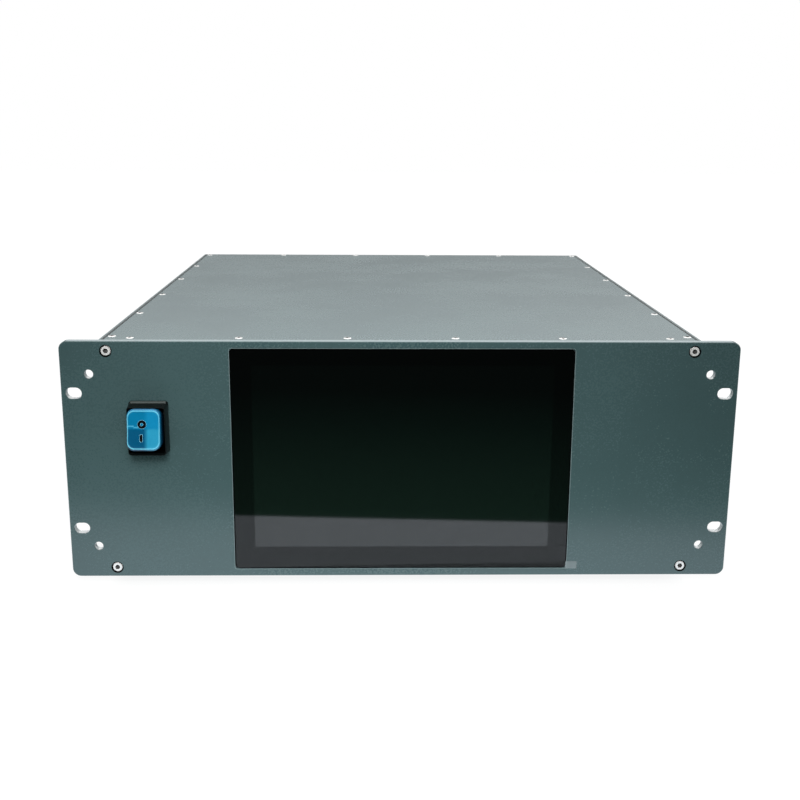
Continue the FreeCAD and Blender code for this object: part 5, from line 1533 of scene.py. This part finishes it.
    def ground_stud(self) -> None:
        """The stud: a threaded body, a hexagon flange and a thinner threaded end."""
        body = [(0.0, -8.5), (3.6, -8.5), *threaded_profile(3.98, 1.25, -8.2, -0.1), (4.0, 0.0)]
        flange = [(6.5, 0.0), (6.5, 3.75), (6.0, 4.0), (3.1, 4.0)]
        tip = [*threaded_profile(2.98, 1.0, 4.1, 15.1), (2.4, 15.9), (0.0, 16.0)]
        x, z = self.stud
        flats = slice(len(body), len(body) + 3)
        post = lathe(body + flange + tip, Axis.REAR, (x, REAR_Y, z), hexagon=flats)
        add_piece("ground_post", [post], "brass", ["ground_stud"])

    def build(self) -> None:
        """Add all the rear connectors."""
        self.rf_sockets()
        self.phono_jacks()
        self.control_connector()
        self.ground_stud()


# ---------------------------------------------------------------------------
# Stage, light and camera
# ---------------------------------------------------------------------------


MIRRORED_SPREAD = 170.0


@dataclass(frozen=True)
class Lamp:
    """One soft rectangular lamp.

    Attributes:
        name: the lamp's name.
        at: where it hangs, in metres.
        aim: the point that it faces.
        size: width and height in metres.
        power: watts.
        spread: the cone that it lights, in degrees.
    """

    name: str
    at: Triple
    aim: Triple
    size: Pair
    power: float
    spread: float = 180.0

    def hang(self) -> None:
        """Add the lamp; one with a narrower cone than MIRRORED_SPREAD isn't mirrored."""
        data = bpy.data.lights.new(self.name, "AREA")
        data.shape = "RECTANGLE"
        data.size, data.size_y = self.size
        data.energy = self.power
        data.spread = math.radians(self.spread)
        thing = bpy.data.objects.new(self.name, data)
        thing.visible_glossy = self.spread > MIRRORED_SPREAD
        thing.location = self.at
        way = Vector(self.aim) - Vector(self.at)
        thing.rotation_euler = way.to_track_quat("-Z", "Y").to_euler()
        bpy.context.scene.collection.objects.link(thing)


@dataclass
class Studio:
    """White table in front of a white backdrop, soft light, and the camera.

    Attributes:
        table_front: where the mirrored white table ends, before the panel.
        table_skew: slope of that edge.
        table_reach: half the side of the table top, in metres.
        table_tone: grey of the table's diffuse part.
        table_glow: strength of its own light, which keeps it white.
        mirrored_span: how far behind that edge the ramp below starts and ends, in metres.
        mirrored: ramp of what camera rays see there.
        backdrop: strength of the room's light at its left side.
        right_gain: how much brighter its right side is.
        sides: the direction's y where the light before the part turns into that behind it.
        behind: ramp of that light over height, behind the part.
        before: the same before the part.
        camera_at: the camera's place across, before the panel, and up.
        turn: its yaw, pitch and roll in degrees.
        focal: its focal length in picture points.
        centre: the picture point that it looks along.
        picture: the picture's side in points.
        sensor: the camera's sensor in its own millimetres.
    """

    table_front: float = 132.5
    table_skew: float = -0.065
    table_reach: float = 6.0
    table_tone: float = 0.15
    table_glow: float = 0.88
    mirrored_span: Pair = (-0.8, 0.2)
    mirrored: Stops = (
        (0.0, (0.002, 0.003, 0.003)),
        (0.35, (0.003, 0.010, 0.008)),
        (0.50, (0.012, 0.040, 0.028)),
        (0.796, (0.046, 0.128, 0.085)),
        (0.80, (0.90, 0.99, 1.06)),
    )
    backdrop: float = 2.12
    right_gain: float = 1.7
    sides: Pair = (-0.5, 0.4)
    behind: Stops = (
        (0.0, (0.0, 0.0, 0.0)),
        (0.16, (0.08, 0.08, 0.08)),
        (0.26, (0.55, 0.56, 0.57)),
        (0.45, (1.0, 1.0, 1.0)),
        (1.0, (0.2, 0.2, 0.2)),
    )
    before: Stops = (
        (0.0, (0.006, 0.01, 0.01)), (0.25, (0.03, 0.03, 0.03)), (0.8, (0.3, 0.3, 0.3))
    )
    camera_at: Triple = (-19.3, 740.7, 337.5)
    turn: Triple = (1.27, 13.19, -0.364)
    focal: float = 1072.5
    centre: Pair = (397.7, 370.3)
    picture: float = 800.0
    sensor: float = 36.0

    @staticmethod
    def by_camera(wiring: Wiring, other: bpy.types.Node, camera: bpy.types.Node) -> bpy.types.Node:
        """A shader that camera rays see, and another one for all other rays."""
        seen = wiring.put("ShaderNodeLightPath").outputs["Is Camera Ray"]
        return wiring.put(
            "ShaderNodeMixShader", {"Fac": seen, 1: other.outputs[0], 2: camera.outputs[0]}
        )

    def world(self) -> None:
        """White to the camera; for light, a pale room behind and a dim one in front."""
        world = bpy.data.worlds.new("studio")
        bpy.context.scene.world = world
        world.use_nodes = True
        wiring = Wiring(world.node_tree)
        wiring.tree.nodes.clear()
        way = wiring.put("ShaderNodeTexCoord").outputs["Generated"]
        split = wiring.put("ShaderNodeSeparateXYZ", {0: way}).outputs
        side = wiring.span(split["Y"], self.sides, (0.0, 1.0), interpolation_type="SMOOTHSTEP")
        room = wiring.mix(
            wiring.ramp(split["Z"], self.before), wiring.ramp(split["Z"], self.behind), side
        )
        gain = wiring.span(split["X"], (0.0, 1.0), (self.backdrop, self.backdrop * self.right_gain))
        dome = wiring.put("ShaderNodeBackground", {"Color": room, "Strength": gain})
        white = wiring.put("ShaderNodeBackground", {"Color": (1.0, 1.0, 1.0, 1.0)})
        mix = self.by_camera(wiring, dome, white)
        wiring.put("ShaderNodeOutputWorld", {"Surface": mix.outputs[0]})

    def table(self) -> None:
        """The table top: white, with a dark room mirrored beyond its front edge."""
        mesh = bpy.data.meshes.new("table_top")
        reach = self.table_reach
        ends = [(-reach, -reach, 0), (reach, -reach, 0), (reach, reach, 0), (-reach, reach, 0)]
        mesh.from_pydata(ends, [], [(0, 1, 2, 3)])
        top = bpy.data.objects.new("table_top", mesh)
        bpy.context.scene.collection.objects.link(top)
        material = bpy.data.materials.new("table_white")
        material.use_nodes = True
        wiring = Wiring(material.node_tree)
        wiring.tree.nodes.clear()
        place = wiring.put("ShaderNodeTexCoord").outputs["Object"]
        split = wiring.put("ShaderNodeSeparateXYZ", {0: place}).outputs
        away = wiring.math("MULTIPLY_ADD", split["X"], self.table_skew, split["Y"])
        edge = (FRONT_Y - self.table_front) * MM
        start, end = self.mirrored_span
        along = wiring.span(away, (edge + start, edge + end), (0.0, 1.0))
        mirror = wiring.put("ShaderNodeEmission", {"Color": wiring.ramp(along, self.mirrored)})
        matt = wiring.put("ShaderNodeBsdfDiffuse", {"Color": rgba((self.table_tone,) * 3)})
        glow = wiring.put("ShaderNodeEmission", {"Strength": self.table_glow})
        lit = wiring.put("ShaderNodeAddShader", {0: matt.outputs[0], 1: glow.outputs[0]})
        mix = self.by_camera(wiring, mirror, lit)
        wiring.put("ShaderNodeOutputMaterial", {"Surface": mix.outputs[0]})
        mesh.materials.append(material)

    def camera(self) -> None:
        """The camera: focal length in picture points, with the picture's own centre."""
        yaw, pitch, roll = (math.radians(angle) for angle in self.turn)
        ahead = np.array(
            [math.sin(yaw) * math.cos(pitch), math.cos(yaw) * math.cos(pitch), -math.sin(pitch)]
        )
        right = np.array([math.cos(yaw), -math.sin(yaw), 0.0])
        down = np.cross(ahead, right)
        level = math.cos(roll) * right + math.sin(roll) * down
        plumb = -math.sin(roll) * right + math.cos(roll) * down
        data = bpy.data.cameras.new("camera")
        data.sensor_width = self.sensor
        data.lens = self.focal / self.picture * data.sensor_width
        data.shift_x = (self.picture / 2 - self.centre[0]) / self.picture
        data.shift_y = (self.centre[1] - self.picture / 2) / self.picture
        data.clip_start = 0.01
        data.clip_end = 50.0
        thing = bpy.data.objects.new("camera", data)
        place = Matrix(np.stack([level, -plumb, -ahead], axis=1).tolist()).to_4x4()
        aside, away, high = self.camera_at
        place.translation = Vector((aside, FRONT_Y - away, high)) * MM
        thing.matrix_world = place
        bpy.context.scene.collection.objects.link(thing)
        bpy.context.scene.camera = thing

    def build(self) -> None:
        """Set up the whole stage."""
        self.camera()
        self.world()
        self.table()
        Lamp("key", (-0.06, -0.86, 0.56), (-0.04, -0.25, 0.12), (0.34, 0.26), 0.86, 70).hang()
        Lamp("top", (0.0, 0.1, 1.9), (0.0, 0.0, 0.18), (1.8, 1.4), 10.0).hang()
        bpy.context.scene.view_settings.view_transform = "Standard"


def main() -> None:
    """Build the stage and every piece in order."""
    logging.basicConfig(level=logging.INFO, format="%(name)s: %(message)s")
    Studio().build()
    CaseDress().dress()
    DisplayOpening().build()
    PowerSwitch().build()
    Fasteners().build()
    Feet().build()
    for side, x in zip(("left", "right"), Fasteners.fan_x):
        FanRotor(side, x).build()
    RearConnectors().build()


if __name__ == "__main__":
    main()
